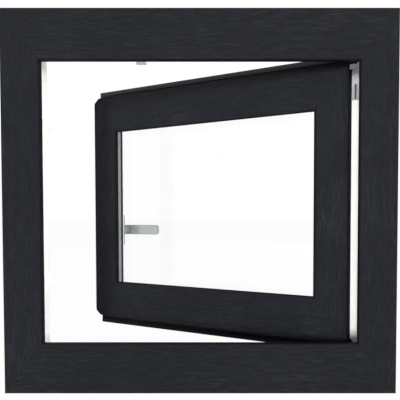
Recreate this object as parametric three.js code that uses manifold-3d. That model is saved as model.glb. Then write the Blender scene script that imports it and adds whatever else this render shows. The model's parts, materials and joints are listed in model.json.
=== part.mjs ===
// Tilt-and-turn window, a hinged double-glazed sash in a fixed frame.
// Millimetres. X runs along the sill with the hinge side at +X, Y runs from outdoors into the room and
// Z is up. The origin is the middle of the sill's underside, halfway through the frame's depth.
//
// Every bar's section is drawn once in ring coordinates [p, y]. p runs from the frame's outer edge
// towards the glass, y from the frame's outdoor face into the room. On the head and the sill p is in
// millimetres; on the stiles, which are narrower, it is multiplied by STILE_RATIO.
import * as THREE from 'three';
import { mergeVertices } from 'three/addons/utils/BufferGeometryUtils.js';
import Module from 'manifold-3d';

const wasm = await Module();
wasm.setup();

// ---------------------------------------------------------------- driving dimensions
const WIDTH = 514;                 // frame, outer edge to outer edge
const HEIGHT = 500;
const STILE_RATIO = 0.755;         // stile face width over rail face width
const REST_OPEN = THREE.MathUtils.degToRad(19);

const FIT = 0.3;                   // gap between pieces that touch
const MITRE_GAP = 0.15;            // half the open seam between two mitred bars

// frame section
const FRAME_DEPTH = 50;
const FRAME_FACE = 66;             // outdoor face, to the tip of the lip
const FRAME_BODY = 44;             // hollow body behind the lip
const LIP = 8;                     // thickness of the lip
const LIP_GASKET = 3.5;            // gap that the gasket on the lip closes
const FRAME_WALL = 3;
const FRAME_EDGE = 1.5;            // bevel on the frame's long edges
const ANCHOR_GROOVE = 2.5;         // depth of the two grooves round the outer edge
const ANCHOR_GROOVE_SET = 8;       // from the outdoor and room faces
const ANCHOR_GROOVE_WIDTH = 4;
const OUTER_CHAMBER = 7;           // depth of the frame's first and last chambers

// sash section
const LIP_OVERLAP = 10;            // how far the lip covers the closed sash
const SASH_FACE = 61;              // outdoor face of the sash, to the glass
const FLANGE = 27;                 // how far the flange that laps the frame stands out past the sash edge
const FLANGE_THICK = 13;
const FLANGE_GASKET = 3.5;         // gap that the gasket on the flange closes
const SASH_EDGE = 2.5;             // bevel on the sash's long edges
const SASH_WALL = 3;
const SASH_FRONT_CHAMBER = 5;      // depth of the chamber behind the outdoor face
const SEAL_SLOT_DEPTH = 1.7;       // slot in the flange for its gasket
const SEAL_SLOT_SET = 3;           // from the flange's edge
const SEAL_SLOT_WIDTH = 3;
const SEAL_WIDTH = 7.5;            // that gasket, from the flange's edge
const CENTRE_SEAL = { width: 3.4, thick: 2 };             // strip beside the hinge stile's edge
const BEAD_FOOT_DEPTH = 3;         // slot in the rebate for the beads' feet
const BEAD_FOOT_SET = 2.5;         // from the bead's glass side to that slot
const BEAD_FOOT_THICK = 3.5;
const BEAD_HEIGHT = 11.5;          // above the rebate
const BEAD_NOSE = 1.2;             // flat on the bead's top
const ROOM_SLOPE = 14;             // width of the slope on the sash's room side, towards the glass
const ROOM_SLOPE_DEPTH = 13;
const FLANGE_CHAMBER_SET = 2;      // from that slope's far edge to the flange's chamber
const CORNER_CUT = 11;             // bevel cut off the sash's outdoor corners on the lock side
const GROOVE_DEPTH = 9;            // hardware groove round the sash edge
const GROOVE_WIDTH = 12;
const SEAT_DEPTH = 2.5;            // shallow seat of the face plates, over the groove
const SEAT_WIDTH = 16;
const GROOVE_SET = 11.5;           // from the groove's middle to the flange

// glazing
const GLASS_REBATE = 20;
const GLASS_LEG = 2.8;             // sash leg in front of the glass
const GLASS_GASKET = 2.5;          // gap of the glazing gaskets, outdoor side
const BEAD_GASKET = 3;             // and room side
const INNER_LIP = 2.4;             // how far the room side's gasket stands out past the bead's top
const PANE = 4;
const AIR_SPACE = 12;
const BLOCK = 4;                   // setting blocks under the glass
const BLOCK_LENGTH = 70;
const BLOCK_SET = 70;              // from the pane's end to the middle of each block
const SPACER_HEIGHT = 7;
const SPACER_SIGHT = 6.5;          // how far the spacer stays behind the sash leg's edge

// reinforcing steel
const STEEL = 1.5;

// hinges
const HINGE_OUT = 7;               // turning axis, out from the flange's edge
const HINGE_IN = 4.5;              // and in from the flange's outdoor side
const BARREL_R = 6.3;
const PIN_R = 3;
const PIN_HEAD_R = 5;
const PIN_CLEARANCE = 0.25;
const KNUCKLE = 14;                // length of a bracket's fixed knuckles
const STAY_BARREL_LENGTH = 31;
const CORNER_BARREL_Z = 18;        // lower end of the corner arm's barrel
const CORNER_BARREL_LENGTH = 48;
const LEAF = 2.2;                  // thickness of hinge leaves
const BRACKET_THICK = 2.5;         // of the brackets' plates on the frame
const BRACKET_IN = 4;              // from the turning axis to those plates' inner side
const BRACKET_EDGE = 2;            // and from their outer side to the frame's edge
const LEAF_GAP = 3;                // from the stay's leaf to the ends of the flange's seal
const STAY_LEAF_SET = 45;          // from the frame's top to the leaf at the stay's hinge end
const STAY_LEAF_DROP = 51;         // and how far down that leaf reaches
const STAY_REACH = 200;            // from the turning axis to the stay's stud
const STAY_WIDTH = 12;
const STAY_THICK = 2.5;
const STAY_LIFT = 3.2;             // gap between the stay and the sash head, which rises as it tilts
const STUD_R = 3;
const TILT_DROP = 5.5;             // tilting axis, below the flange's lower edge
const TILT_PIN_R = 2.6;
const TILT_PIN_REACH = 46;         // how far the tilting pin reaches under the sash
const TILT_EYE = 10;               // length of each eye on the tilting pin
const ARM_BLOCK_REACH = 16;        // from the turning axis to the end of the corner arm's block
const SASH_HINGE_HEIGHT = 54;      // of its plate, up the sash's room face

// handle and drive
const HANDLE_DROP = 42;            // spindle, below the middle of the height
const BACKSET = 12.5;              // from the sash edge to the spindle
const SPINDLE = 7;
const ROSE = { width: 15.6, height: 64, thick: 4.2 };
const ROSE_ROUND = 7;              // radius of its corners
const ROSE_SEAT = 1.6;             // thickness left under its screw heads
const SCREW_SPACING = 43;          // between the rose's two screws
const SCREW_R = 2.2;
const SCREW_HEAD_R = 4.2;
const LEVER_REACH = 66.5;          // spindle to the lever's end
const LEVER_HEIGHT = 18.5;
const LEVER_THICK = 13;
const LEVER_STAND = 22;            // sash face to the lever's nearer side
const LEVER_NECK_R = 6.2;
const PINION_TEETH = 14;
const PINION_R = 7.6;              // pitch radius: 12 mm of rod for a quarter turn
const PINION_THICK = 8;
const HUB_R = 6;                   // round hub that turns in the gear case
const ROD_TRAVEL = PINION_R * Math.PI / 2;
const ROD_WIDTH = 9;
const CAM_HEAD_R = 4.5;
const CAM_NECK_R = 3;
const CAM_STAND = 6;               // how far the lock side's cams stand out of their face plate
const HEAD_CAM_STAND = 9;          // and the head's cam out of its own
const CAM_SET_LOW = 128;           // lower cam, from the frame's bottom
const CAM_SET_HIGH = 148;          // upper cam, from its top
const HEAD_CAM_SET = 60;           // head cam, from the end of the head's face plate
const PLATE_SET = 22;              // from the sash's corner to the lock side's face plate
const HEAD_PLATE_SET = 54.7;       // and to the head's face plate
const HEAD_PLATE_PAST = 40;        // how far the head's plate reaches past the stay's stud
const ROD_SHORT = 12;              // lock side's rod, from its face plate's ends
const HEAD_ROD_SHORT = 6;
const HEAD_ROD_PAST = 40;          // how far the head's rod runs on past its cam
const HEAD_ROD_THICK = 2.6;

// ---------------------------------------------------------------- places worked out from them
const SASH_EDGE_P = FRAME_FACE - LIP_OVERLAP;
const SASH_FRONT = LIP + LIP_GASKET;
const SASH_STEP = FRAME_DEPTH + FLANGE_GASKET - SASH_FRONT;   // sash's outdoor face to its flange
const FLANGE_FACE = SASH_FRONT + SASH_STEP;
const SASH_BACK = FLANGE_FACE + FLANGE_THICK;
const FLANGE_P = SASH_EDGE_P - FLANGE;
const SIGHT_P = SASH_EDGE_P + SASH_FACE;
const REBATE_P = SIGHT_P - GLASS_REBATE;
const GLASS_P = REBATE_P + BLOCK;
const BLOCK_X = stileX(GLASS_P) - BLOCK_SET;
const GROOVE_Y = FLANGE_FACE - GROOVE_SET;
const GLASS_FRONT = SASH_FRONT + GLASS_LEG + GLASS_GASKET;
const GLASS_BACK = GLASS_FRONT + 2 * PANE + AIR_SPACE;
const BEAD_FRONT = GLASS_BACK + BEAD_GASKET;
const HINGE_X = stileX(FLANGE_P) + HINGE_OUT;
const HINGE_Y = FLANGE_FACE + HINGE_IN;
const STAY_LEAF_TOP = HEIGHT - STAY_LEAF_SET;
const TILT_Z = FLANGE_P - TILT_DROP;
const SPINDLE_X = -(stileX(SASH_EDGE_P) - BACKSET);
const HANDLE_Z = HEIGHT / 2 - HANDLE_DROP;
const CAM_Z = [CAM_SET_LOW, HEIGHT - CAM_SET_HIGH];
const PLATE_HALF = HEIGHT / 2 - SASH_EDGE_P - PLATE_SET;
const HEAD_PLATE_HALF = stileX(SASH_EDGE_P) - HEAD_PLATE_SET;
const HEAD_CAM_X = HEAD_CAM_SET - HEAD_PLATE_HALF;

function stileX(p) {
  return WIDTH / 2 - p * STILE_RATIO;
}

// ---------------------------------------------------------------- materials
function finish(color, roughness, metalness = 0) {
  return new THREE.MeshStandardMaterial({ color, roughness, metalness });
}
const foil = finish(0x2b2c30, 0.55);
const rubber = finish(0x1a1b1d, 0.8);
const whitePvc = finish(0xf2f2ef, 0.4);
const zinc = finish(0xa6a8ab, 0.4, 0.9);
const steel = finish(0x8e9194, 0.5, 0.9);
const silver = finish(0xb9bbbd, 0.35, 0.8);
const spacerMetal = finish(0x9a9c9f, 0.4, 0.8);
const glass = finish(0xdfe8e6, 0.05);
const plastic = finish(0x2a2a2c, 0.6);

// ---------------------------------------------------------------- solids
function solidOf(geometry) {
  const bare = geometry.clone();
  bare.deleteAttribute('normal');
  bare.deleteAttribute('uv');
  const merged = mergeVertices(bare, 1e-4);
  return new wasm.Manifold(new wasm.Mesh({
    numProp: 3,
    vertProperties: new Float32Array(merged.attributes.position.array),
    triVerts: new Uint32Array(merged.index.array),
  }));
}

function geometryOf(solid) {
  const mesh = solid.getMesh();
  const geometry = new THREE.BufferGeometry();
  geometry.setAttribute('position', new THREE.BufferAttribute(mesh.vertProperties, 3));
  geometry.setIndex(new THREE.BufferAttribute(mesh.triVerts, 1));
  return geometry;
}

function join(...geometries) {
  return geometryOf(geometries.map(solidOf).reduce((all, one) => all.add(one)));
}

function cut(geometry, ...tools) {
  return geometryOf(tools.map(solidOf).reduce((left, tool) => left.subtract(tool), solidOf(geometry)));
}

// A box from its lowest to its highest corner.
function box(x0, x1, y0, y1, z0, z1) {
  const geometry = new THREE.BoxGeometry(Math.abs(x1 - x0), Math.abs(y1 - y0), Math.abs(z1 - z0));
  return geometry.translate((x0 + x1) / 2, (y0 + y1) / 2, (z0 + z1) / 2);
}

// A cylinder along one axis, from one place on it to another.
function rod(axis, radius, centre, from, to, sides = 24) {
  const geometry = new THREE.CylinderGeometry(radius, radius, to - from, sides);
  const middle = (from + to) / 2;
  const [a, b] = centre;
  if (axis === 'x') return geometry.rotateZ(Math.PI / 2).translate(middle, a, b);
  if (axis === 'y') return geometry.translate(a, middle, b);
  return geometry.rotateX(Math.PI / 2).translate(a, b, middle);
}

// A flat outline of [x, z] points pushed along Y.
function plateXZ(points, y0, y1, holes = []) {
  const shape = shapeOf(points, holes);
  const geometry = new THREE.ExtrudeGeometry(shape, { depth: y1 - y0, bevelEnabled: false });
  return geometry.rotateX(Math.PI / 2).translate(0, y1, 0);
}

function shapeOf(points, holes = []) {
  const shape = new THREE.Shape(points.map(([a, b]) => new THREE.Vector2(a, b)));
  shape.holes = holes.map((hole) => new THREE.Path(hole.map(([a, b]) => new THREE.Vector2(a, b))));
  return shape;
}

function rectangle(p0, p1, y0, y1) {
  return [[p0, y0], [p1, y0], [p1, y1], [p0, y1]];
}

// An outline with round corners: half sizes, corner radius, and steps in each corner.
function roundRectangle(halfX, halfZ, radius, steps = 5, centre = [0, 0]) {
  const points = [];
  for (const [quarter, sx, sz] of [[0, 1, 1], [1, -1, 1], [2, -1, -1], [3, 1, -1]]) {
    for (let step = 0; step <= steps; step += 1) {
      const angle = (quarter + step / steps) * Math.PI / 2;
      points.push([
        centre[0] + sx * (halfX - radius) + radius * Math.cos(angle),
        centre[1] + sz * (halfZ - radius) + radius * Math.sin(angle),
      ]);
    }
  }
  return points;
}

// ---------------------------------------------------------------- bars of the ring
// Puts a vertex [p, y, t] of a bar in its place: t = 0 and 1 are the bar's two ends, given by the half
// length that belongs to p.
const SIDES = {
  head: (p, t, half) => [t * half(p), HEIGHT - p],
  sill: (p, t, half) => [t * half(p), p],
  hinge: (p, t, half) => [stileX(p), HEIGHT / 2 + t * half(p)],
  lock: (p, t, half) => [-stileX(p), HEIGHT / 2 + t * half(p)],
};

function isRail(side) {
  return side === 'head' || side === 'sill';
}

// Half length of a mitred bar at ring coordinate p.
function mitred(side, gap = MITRE_GAP) {
  return isRail(side) ? (p) => stileX(p) - gap : (p) => HEIGHT / 2 - p - gap;
}

// Half length of a bar cut square, `short` of where its section's outer edge would be mitred.
function squared(side, p, short) {
  const length = mitred(side)(p) - short;
  return () => length;
}

function bar(side, outline, holes = [], half = mitred(side)) {
  const shape = shapeOf(outline, holes);
  const geometry = new THREE.ExtrudeGeometry(shape, { depth: 1, bevelEnabled: false });
  const place = geometry.attributes.position;
  for (let i = 0; i < place.count; i += 1) {
    const [x, z] = SIDES[side](place.getX(i), place.getZ(i) * 2 - 1, half);
    place.setXYZ(i, x, place.getY(i), z);
  }
  return facingOut(geometry);
}

// A closed ring of the same section round all four sides.
function ring(outline) {
  const corners = [[1, 1], [-1, 1], [-1, -1], [1, -1]];
  const points = [];
  for (const [sx, sz] of corners) {
    for (const [p, y] of outline) {
      points.push(sx * stileX(p), y, HEIGHT / 2 + sz * (HEIGHT / 2 - p));
    }
  }
  const count = outline.length;
  const index = [];
  for (let c = 0; c < corners.length; c += 1) {
    const here = c * count;
    const next = ((c + 1) % corners.length) * count;
    for (let i = 0; i < count; i += 1) {
      const j = (i + 1) % count;
      index.push(here + i, here + j, next + j, here + i, next + j, next + i);
    }
  }
  const geometry = new THREE.BufferGeometry();
  geometry.setAttribute('position', new THREE.Float32BufferAttribute(points, 3));
  geometry.setIndex(index);
  return facingOut(geometry);
}

// Turns a closed mesh's faces outwards if its volume comes out negative.
function facingOut(geometry) {
  const flat = geometry.index ? geometry.toNonIndexed() : geometry;
  const place = flat.attributes.position;
  const [a, b, c] = [new THREE.Vector3(), new THREE.Vector3(), new THREE.Vector3()];
  let volume = 0;
  for (let i = 0; i < place.count; i += 3) {
    a.fromBufferAttribute(place, i);
    b.fromBufferAttribute(place, i + 1);
    c.fromBufferAttribute(place, i + 2);
    volume += a.dot(b.cross(c));
  }
  if (volume < 0) {
    for (let i = 0; i < place.count; i += 3) {
      a.fromBufferAttribute(place, i + 1);
      b.fromBufferAttribute(place, i + 2);
      place.setXYZ(i + 1, b.x, b.y, b.z);
      place.setXYZ(i + 2, a.x, a.y, a.z);
    }
  }
  flat.deleteAttribute('normal');
  flat.deleteAttribute('uv');
  return mergeVertices(flat, 1e-4);
}

// ---------------------------------------------------------------- the tree of groups
const part = new THREE.Group();
const frame = new THREE.Group();                 // fixed; y = 0 is its outdoor face
frame.position.y = -FRAME_DEPTH / 2;
part.add(frame);

// Everything that turns is drawn closed, then swung open about the turning axis.
const swing = new THREE.Group();
swing.position.set(HINGE_X, HINGE_Y, 0);
swing.rotation.z = -REST_OPEN;
frame.add(swing);
const leafGroup = new THREE.Group();
leafGroup.position.set(-HINGE_X, -HINGE_Y, 0);
swing.add(leafGroup);

function add(group, name, geometry, material) {
  const mesh = new THREE.Mesh(geometry, material);
  mesh.name = name;
  group.add(mesh);
}

// ---------------------------------------------------------------- frame
const GASKET_SLOT = { from: FRAME_FACE - 7, to: FRAME_FACE - 3.5, deep: 2.5 };
const FRONT_WEB = FRAME_WALL + OUTER_CHAMBER;
const FRAME_CHAMBERS = [
  { from: FRAME_WALL, to: FRONT_WEB },
  { from: FRONT_WEB + FRAME_WALL, to: FRAME_DEPTH - FRONT_WEB - FRAME_WALL },
  { from: FRAME_DEPTH - FRONT_WEB, to: FRAME_DEPTH - FRAME_WALL },
];
const FRAME_STEEL_P = { from: ANCHOR_GROOVE + FRAME_WALL, to: FRAME_BODY - FRAME_WALL - 1 };

function frameOutline() {
  const e = FRAME_EDGE;
  const groove = (low) => {
    const high = low + ANCHOR_GROOVE_WIDTH;
    return [[0, high], [ANCHOR_GROOVE, high], [ANCHOR_GROOVE, low], [0, low]];
  };
  const slot = GASKET_SLOT;
  return [
    [e, 0], [FRAME_FACE - e, 0], [FRAME_FACE - e * 0.3, e * 0.3], [FRAME_FACE, e],
    [FRAME_FACE, LIP - e], [FRAME_FACE - e, LIP],
    [slot.to, LIP], [slot.to, LIP - slot.deep], [slot.from, LIP - slot.deep], [slot.from, LIP],
    [FRAME_BODY + e, LIP], [FRAME_BODY, LIP + e],
    [FRAME_BODY, FRAME_DEPTH - e], [FRAME_BODY - e, FRAME_DEPTH],
    [e, FRAME_DEPTH], [0, FRAME_DEPTH - e],
    ...groove(FRAME_DEPTH - ANCHOR_GROOVE_SET - ANCHOR_GROOVE_WIDTH), ...groove(ANCHOR_GROOVE_SET),
    [0, e], [e * 0.3, e * 0.3],
  ];
}

function frameBar(side) {
  const { from, to } = FRAME_STEEL_P;
  const holes = FRAME_CHAMBERS.map((c) => rectangle(from, to, c.from, c.to));
  const lipHole = rectangle(FRAME_BODY + 1, GASKET_SLOT.from - 1.5, 2.5, LIP - 2.5);
  return bar(side, frameOutline(), [...holes, lipHole]);
}

// Galvanised channel in a chamber: a web at the glass side and two legs.
function steelChannel(side, p0, p1, y0, y1, short) {
  const t = STEEL;
  const web = t / (isRail(side) ? 1 : STILE_RATIO);
  const outline = [
    [p0, y0], [p1, y0], [p1, y1], [p0, y1],
    [p0, y1 - t], [p1 - web, y1 - t], [p1 - web, y0 + t], [p0, y0 + t],
  ];
  return bar(side, outline, [], squared(side, p1, short));
}

function frameGasket() {
  const { from, to, deep } = GASKET_SLOT;
  const tip = LIP + LIP_GASKET - FIT;
  return ring([
    [from + FIT, LIP - deep + FIT], [to - FIT, LIP - deep + FIT], [to - FIT, LIP + FIT],
    [to + 1.5, LIP + FIT], [to + 1.8, tip - 1.2], [to + 0.6, tip - 0.3], [to - 1, tip],
    [from + 0.6, tip - 1], [from - 0.5, LIP + 1.2], [from - 0.5, LIP + FIT], [from + FIT, LIP + FIT],
  ]);
}

for (const side of ['head', 'sill', 'hinge', 'lock']) {
  const { from, to } = FRAME_STEEL_P;
  const chamber = FRAME_CHAMBERS[1];
  add(frame, `frame_${isRail(side) ? side : `stile_${side}`}`, frameBar(side), foil);
  add(frame, `frame_steel_${side}`,
    steelChannel(side, from + FIT, to - FIT, chamber.from + FIT, chamber.to - FIT, 8), steel);
}
add(frame, 'frame_gasket', frameGasket(), rubber);

// ---------------------------------------------------------------- sash
const FRONT_CHAMBER = {
  p0: SASH_EDGE_P + CORNER_CUT - 1,
  p1: REBATE_P - SASH_WALL,
  y0: SASH_FRONT + SASH_WALL,
  y1: SASH_FRONT + SASH_WALL + SASH_FRONT_CHAMBER,
};
const MAIN_CHAMBER = {
  p0: SASH_EDGE_P + GROOVE_DEPTH + SASH_WALL,
  p1: REBATE_P - BEAD_FOOT_DEPTH - SASH_WALL,
  y0: FRONT_CHAMBER.y1 + SASH_WALL,
  y1: FLANGE_FACE - SASH_WALL,
};
const FLANGE_CHAMBER = {
  p0: FLANGE_P + SASH_WALL + 1,
  p1: REBATE_P - ROOM_SLOPE - FLANGE_CHAMBER_SET,
  y0: FLANGE_FACE + SEAL_SLOT_DEPTH + 1.8,
  y1: SASH_BACK - SASH_WALL,
};
const BEAD_FOOT = {
  from: BEAD_FRONT + BEAD_FOOT_SET,
  to: BEAD_FRONT + BEAD_FOOT_SET + BEAD_FOOT_THICK,
  deep: BEAD_FOOT_DEPTH,
};
const SEAL_SLOT = {
  from: FLANGE_P + SEAL_SLOT_SET,
  to: FLANGE_P + SEAL_SLOT_SET + SEAL_SLOT_WIDTH,
  deep: SEAL_SLOT_DEPTH,
};

function sashOutline() {
  const e = SASH_EDGE;
  const edge = SASH_EDGE_P;
  const seat = edge + SEAT_DEPTH;
  const floor = edge + GROOVE_DEPTH;
  const [s0, s1] = [GROOVE_Y - SEAT_WIDTH / 2, GROOVE_Y + SEAT_WIDTH / 2];
  const [g0, g1] = [GROOVE_Y - GROOVE_WIDTH / 2, GROOVE_Y + GROOVE_WIDTH / 2];
  return [
    [edge + e, SASH_FRONT], [SIGHT_P - 4, SASH_FRONT], [SIGHT_P, SASH_FRONT + 1.5],
    [SIGHT_P, SASH_FRONT + GLASS_LEG], [REBATE_P, SASH_FRONT + GLASS_LEG],
    [REBATE_P, BEAD_FOOT.from], [REBATE_P - BEAD_FOOT.deep, BEAD_FOOT.from],
    [REBATE_P - BEAD_FOOT.deep, BEAD_FOOT.to], [REBATE_P, BEAD_FOOT.to],
    [REBATE_P, SASH_BACK - ROOM_SLOPE_DEPTH], [REBATE_P - ROOM_SLOPE, SASH_BACK],
    [FLANGE_P + e, SASH_BACK], [FLANGE_P, SASH_BACK - e], [FLANGE_P, FLANGE_FACE + e],
    [FLANGE_P + e, FLANGE_FACE],
    [SEAL_SLOT.from, FLANGE_FACE], [SEAL_SLOT.from, FLANGE_FACE + SEAL_SLOT.deep],
    [SEAL_SLOT.to, FLANGE_FACE + SEAL_SLOT.deep], [SEAL_SLOT.to, FLANGE_FACE],
    [edge, FLANGE_FACE], [edge, s1], [seat, s1], [seat, g1], [floor, g1], [floor, g0], [seat, g0],
    [seat, s0], [edge, s0], [edge, SASH_FRONT + e], [edge + e * 0.3, SASH_FRONT + e * 0.3],
  ];
}

function chamber({ p0, p1, y0, y1 }) {
  return rectangle(p0, p1, y0, y1);
}

// The wedge that takes the sharp point off an outdoor corner of the sash, above or below on the lock side.
function cornerWedge(sz) {
  const x = -(stileX(SASH_EDGE_P) + 1);
  const z = HEIGHT / 2 + sz * (HEIGHT / 2 - SASH_EDGE_P + 1);
  const size = CORNER_CUT + 2;
  const outline = [[x, z], [x + size, z], [x, z - sz * size]];
  return facingOut(plateXZ(outline, SASH_FRONT - 1, FLANGE_FACE - 2));
}

function sashBar(side) {
  const holes = [MAIN_CHAMBER, FRONT_CHAMBER, FLANGE_CHAMBER].map(chamber);
  const corners = { head: [1], sill: [-1], lock: [1, -1], hinge: [] };
  return cut(bar(side, sashOutline(), holes), ...corners[side].map(cornerWedge));
}

function sashSteel(side) {
  const { p0, p1, y0, y1 } = MAIN_CHAMBER;
  return steelChannel(side, p0 + FIT, p1 - FIT, y0 + FIT, y1 - FIT, 8);
}

const GEAR_CASE = {
  in0: GROOVE_DEPTH * STILE_RATIO + FIT,
  in1: BACKSET + PINION_R + 2.6,
  thick: 11.2,
  wall: 1.2,
  half: 46,
  window: 13,
};
const SPINDLE_HOLE_R = 6;

// Where the gear case and the spindle pass, the lock stile and its steel are cut away.
function gearPocket() {
  const edge = -stileX(SASH_EDGE_P);
  const half = GEAR_CASE.half + FIT;
  const thick = GEAR_CASE.thick / 2 + FIT;
  return box(edge + 3, edge + GEAR_CASE.in1 + FIT, GROOVE_Y - thick, GROOVE_Y + thick,
    HANDLE_Z - half, HANDLE_Z + half);
}

function spindleHole() {
  return rod('y', SPINDLE_HOLE_R, [SPINDLE_X, HANDLE_Z], GROOVE_Y, SASH_BACK + 5);
}

// Room behind the bevelled corner for the corner drive's angle.
function cornerRecess() {
  const x = -stileX(SASH_EDGE_P);
  const z = HEIGHT - SASH_EDGE_P;
  const deep = CORNER_CUT + SEAT_DEPTH + 2;
  const half = SEAT_WIDTH / 2;
  return box(x - 1, x + deep, GROOVE_Y - half, GROOVE_Y + half, z - deep, z + 1);
}

add(leafGroup, 'sash_head', cut(sashBar('head'), cornerRecess()), foil);
add(leafGroup, 'sash_sill', sashBar('sill'), foil);
add(leafGroup, 'sash_stile_hinge', sashBar('hinge'), foil);
add(leafGroup, 'sash_stile_lock', cut(sashBar('lock'), gearPocket(), spindleHole(), cornerRecess()), foil);
add(leafGroup, 'sash_steel_head', sashSteel('head'), steel);
add(leafGroup, 'sash_steel_sill', sashSteel('sill'), steel);
add(leafGroup, 'sash_steel_hinge', sashSteel('hinge'), steel);
add(leafGroup, 'sash_steel_lock', cut(sashSteel('lock'), gearPocket(), spindleHole()), steel);

// The seal on the flange is one strip whose ends stop on both sides of the stay's leaf.
function flangeGasket() {
  const { from, to, deep } = SEAL_SLOT;
  const foot = FLANGE_FACE + deep - FIT;
  const back = FLANGE_FACE - FIT;
  const tip = FLANGE_FACE - FLANGE_GASKET + FIT;
  const inner = FLANGE_P + SEAL_WIDTH;
  const strip = ring([
    [from + FIT, foot], [from + FIT, back], [FLANGE_P, back], [FLANGE_P, tip + 1.5],
    [FLANGE_P + 1.6, tip + 0.3], [FLANGE_P + 3.5, tip], [to, tip + 0.6], [inner, back - 0.6],
    [inner, back], [to - FIT, back], [to - FIT, foot],
  ]);
  const gap = box(stileX(SASH_EDGE_P), HINGE_X, tip - 1, foot + 1,
    STAY_LEAF_TOP - STAY_LEAF_DROP - LEAF_GAP, STAY_LEAF_TOP + LEAF_GAP);
  return cut(strip, gap);
}

// A strip that lies in the corner between the hinge stile's edge and its flange.
function centreSeal() {
  const { width, thick } = CENTRE_SEAL;
  const back = FLANGE_FACE - FIT;
  const outer = SASH_EDGE_P - (width + FIT) / STILE_RATIO;
  const inner = SASH_EDGE_P - FIT / STILE_RATIO;
  const outline = [[outer, back], [outer, back - thick / 2], [outer + 1, back - thick],
    [inner, back - thick], [inner, back]];
  return bar('hinge', outline);
}

add(leafGroup, 'sash_gasket', flangeGasket(), rubber);
add(leafGroup, 'centre_seal', centreSeal(), rubber);

// ---------------------------------------------------------------- glazing
function pane(y0) {
  return box(-stileX(GLASS_P), stileX(GLASS_P), y0, y0 + PANE, GLASS_P, HEIGHT - GLASS_P);
}
const SPACER_P = SIGHT_P - SPACER_SIGHT;
const SPACER_Y = [GLASS_FRONT + PANE + FIT, GLASS_BACK - PANE - FIT];

// The bead's top slopes down to where the slope of the sash's room side begins.
const BEAD_TOP_P = REBATE_P + BEAD_HEIGHT;

function bead(side) {
  const foot = BEAD_FOOT;
  const low = REBATE_P + FIT;
  const footP = low - foot.deep + FIT;
  return bar(side, [
    [low, BEAD_FRONT], [BEAD_TOP_P, BEAD_FRONT], [BEAD_TOP_P, BEAD_FRONT + BEAD_NOSE],
    [low + 0.8, SASH_BACK - ROOM_SLOPE_DEPTH - FIT], [low, SASH_BACK - ROOM_SLOPE_DEPTH - FIT],
    [low, foot.to - FIT], [footP, foot.to - FIT], [footP, foot.from + FIT], [low, foot.from + FIT],
  ]);
}

add(leafGroup, 'pane_outer', pane(GLASS_FRONT), glass);
add(leafGroup, 'pane_inner', pane(GLASS_BACK - PANE), glass);
const SPACER_BACK_P = SPACER_P - SPACER_HEIGHT;
add(leafGroup, 'spacer_frame', ring(rectangle(SPACER_BACK_P, SPACER_P, ...SPACER_Y)), spacerMetal);
add(leafGroup, 'edge_seal', ring(rectangle(GLASS_P + FIT, SPACER_BACK_P - FIT, ...SPACER_Y)), rubber);
add(leafGroup, 'glazing_gasket_outer', ring([
  [SIGHT_P - 7, GLASS_FRONT - FIT], [SIGHT_P - 7, GLASS_FRONT - GLASS_GASKET + FIT],
  [SIGHT_P - 0.6, GLASS_FRONT - GLASS_GASKET + FIT], [SIGHT_P + 1.2, GLASS_FRONT - 1.2],
  [SIGHT_P + 1.6, GLASS_FRONT - FIT],
]), rubber);
const INNER_LIP_P = BEAD_TOP_P + INNER_LIP;
add(leafGroup, 'glazing_gasket_inner', ring([
  [BEAD_TOP_P - 7, GLASS_BACK + FIT], [INNER_LIP_P, GLASS_BACK + FIT],
  [INNER_LIP_P, BEAD_FRONT - 1.2], [BEAD_TOP_P - 0.8, BEAD_FRONT - FIT],
  [BEAD_TOP_P - 7, BEAD_FRONT - FIT],
]), rubber);
for (const side of ['head', 'sill', 'hinge', 'lock']) {
  add(leafGroup, `bead_${side}`, bead(side), whitePvc);
}
for (const [name, x] of [['lock', -BLOCK_X], ['hinge', BLOCK_X]]) {
  add(leafGroup, `setting_block_${name}`, box(x - BLOCK_LENGTH / 2, x + BLOCK_LENGTH / 2,
    GLASS_FRONT, GLASS_BACK, REBATE_P + FIT, GLASS_P - FIT), plastic);
}

// ---------------------------------------------------------------- turning hinges
// A bracket screwed to the frame's room face, with one knuckle below and one above the moving barrel.
function frameBracket(knuckles) {
  const [z0, z1] = [knuckles[0][0], knuckles[1][1]];
  const face = FRAME_DEPTH + FIT;
  const inner = HINGE_X - BRACKET_IN;
  const plate = box(inner, WIDTH / 2 - BRACKET_EDGE, face, face + BRACKET_THICK, z0, z1);
  const webs = knuckles.map(([low, high]) => (
    box(inner, HINGE_X + BARREL_R - 0.5, face, HINGE_Y, low, high)
  ));
  const barrels = knuckles.map(([low, high]) => rod('z', BARREL_R, [HINGE_X, HINGE_Y], low, high));
  const bore = rod('z', PIN_R + PIN_CLEARANCE, [HINGE_X, HINGE_Y], z0 - 1, z1 + 1);
  const [low, high] = [knuckles[0][1], knuckles[1][0]];
  const swingRoom = rod('z', BARREL_R + 2 * FIT, [HINGE_X, HINGE_Y], low, high, 32);
  const neckRoom = box(inner - 1, HINGE_X, face - 1, HINGE_Y, low, high);
  return cut(join(plate, ...webs, ...barrels), bore, swingRoom, neckRoom);
}

// The fixed knuckles below and above a moving barrel.
function knucklesRound({ from, to }) {
  return [[from - KNUCKLE, from - FIT], [to + FIT, to + KNUCKLE]];
}

const STAY_BARREL = { from: STAY_LEAF_TOP - STAY_BARREL_LENGTH, to: STAY_LEAF_TOP };
const STAY_KNUCKLES = knucklesRound(STAY_BARREL);
const CORNER_BARREL = { from: CORNER_BARREL_Z, to: CORNER_BARREL_Z + CORNER_BARREL_LENGTH };
const CORNER_KNUCKLES = knucklesRound(CORNER_BARREL);

function hingePin(knuckles) {
  const centre = [HINGE_X, HINGE_Y];
  const [low, high] = [knuckles[0][0] - 1.5, knuckles[1][1]];
  return join(rod('z', PIN_R, centre, low, high + 1), rod('z', PIN_HEAD_R, centre, high + FIT, high + 3));
}

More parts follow.
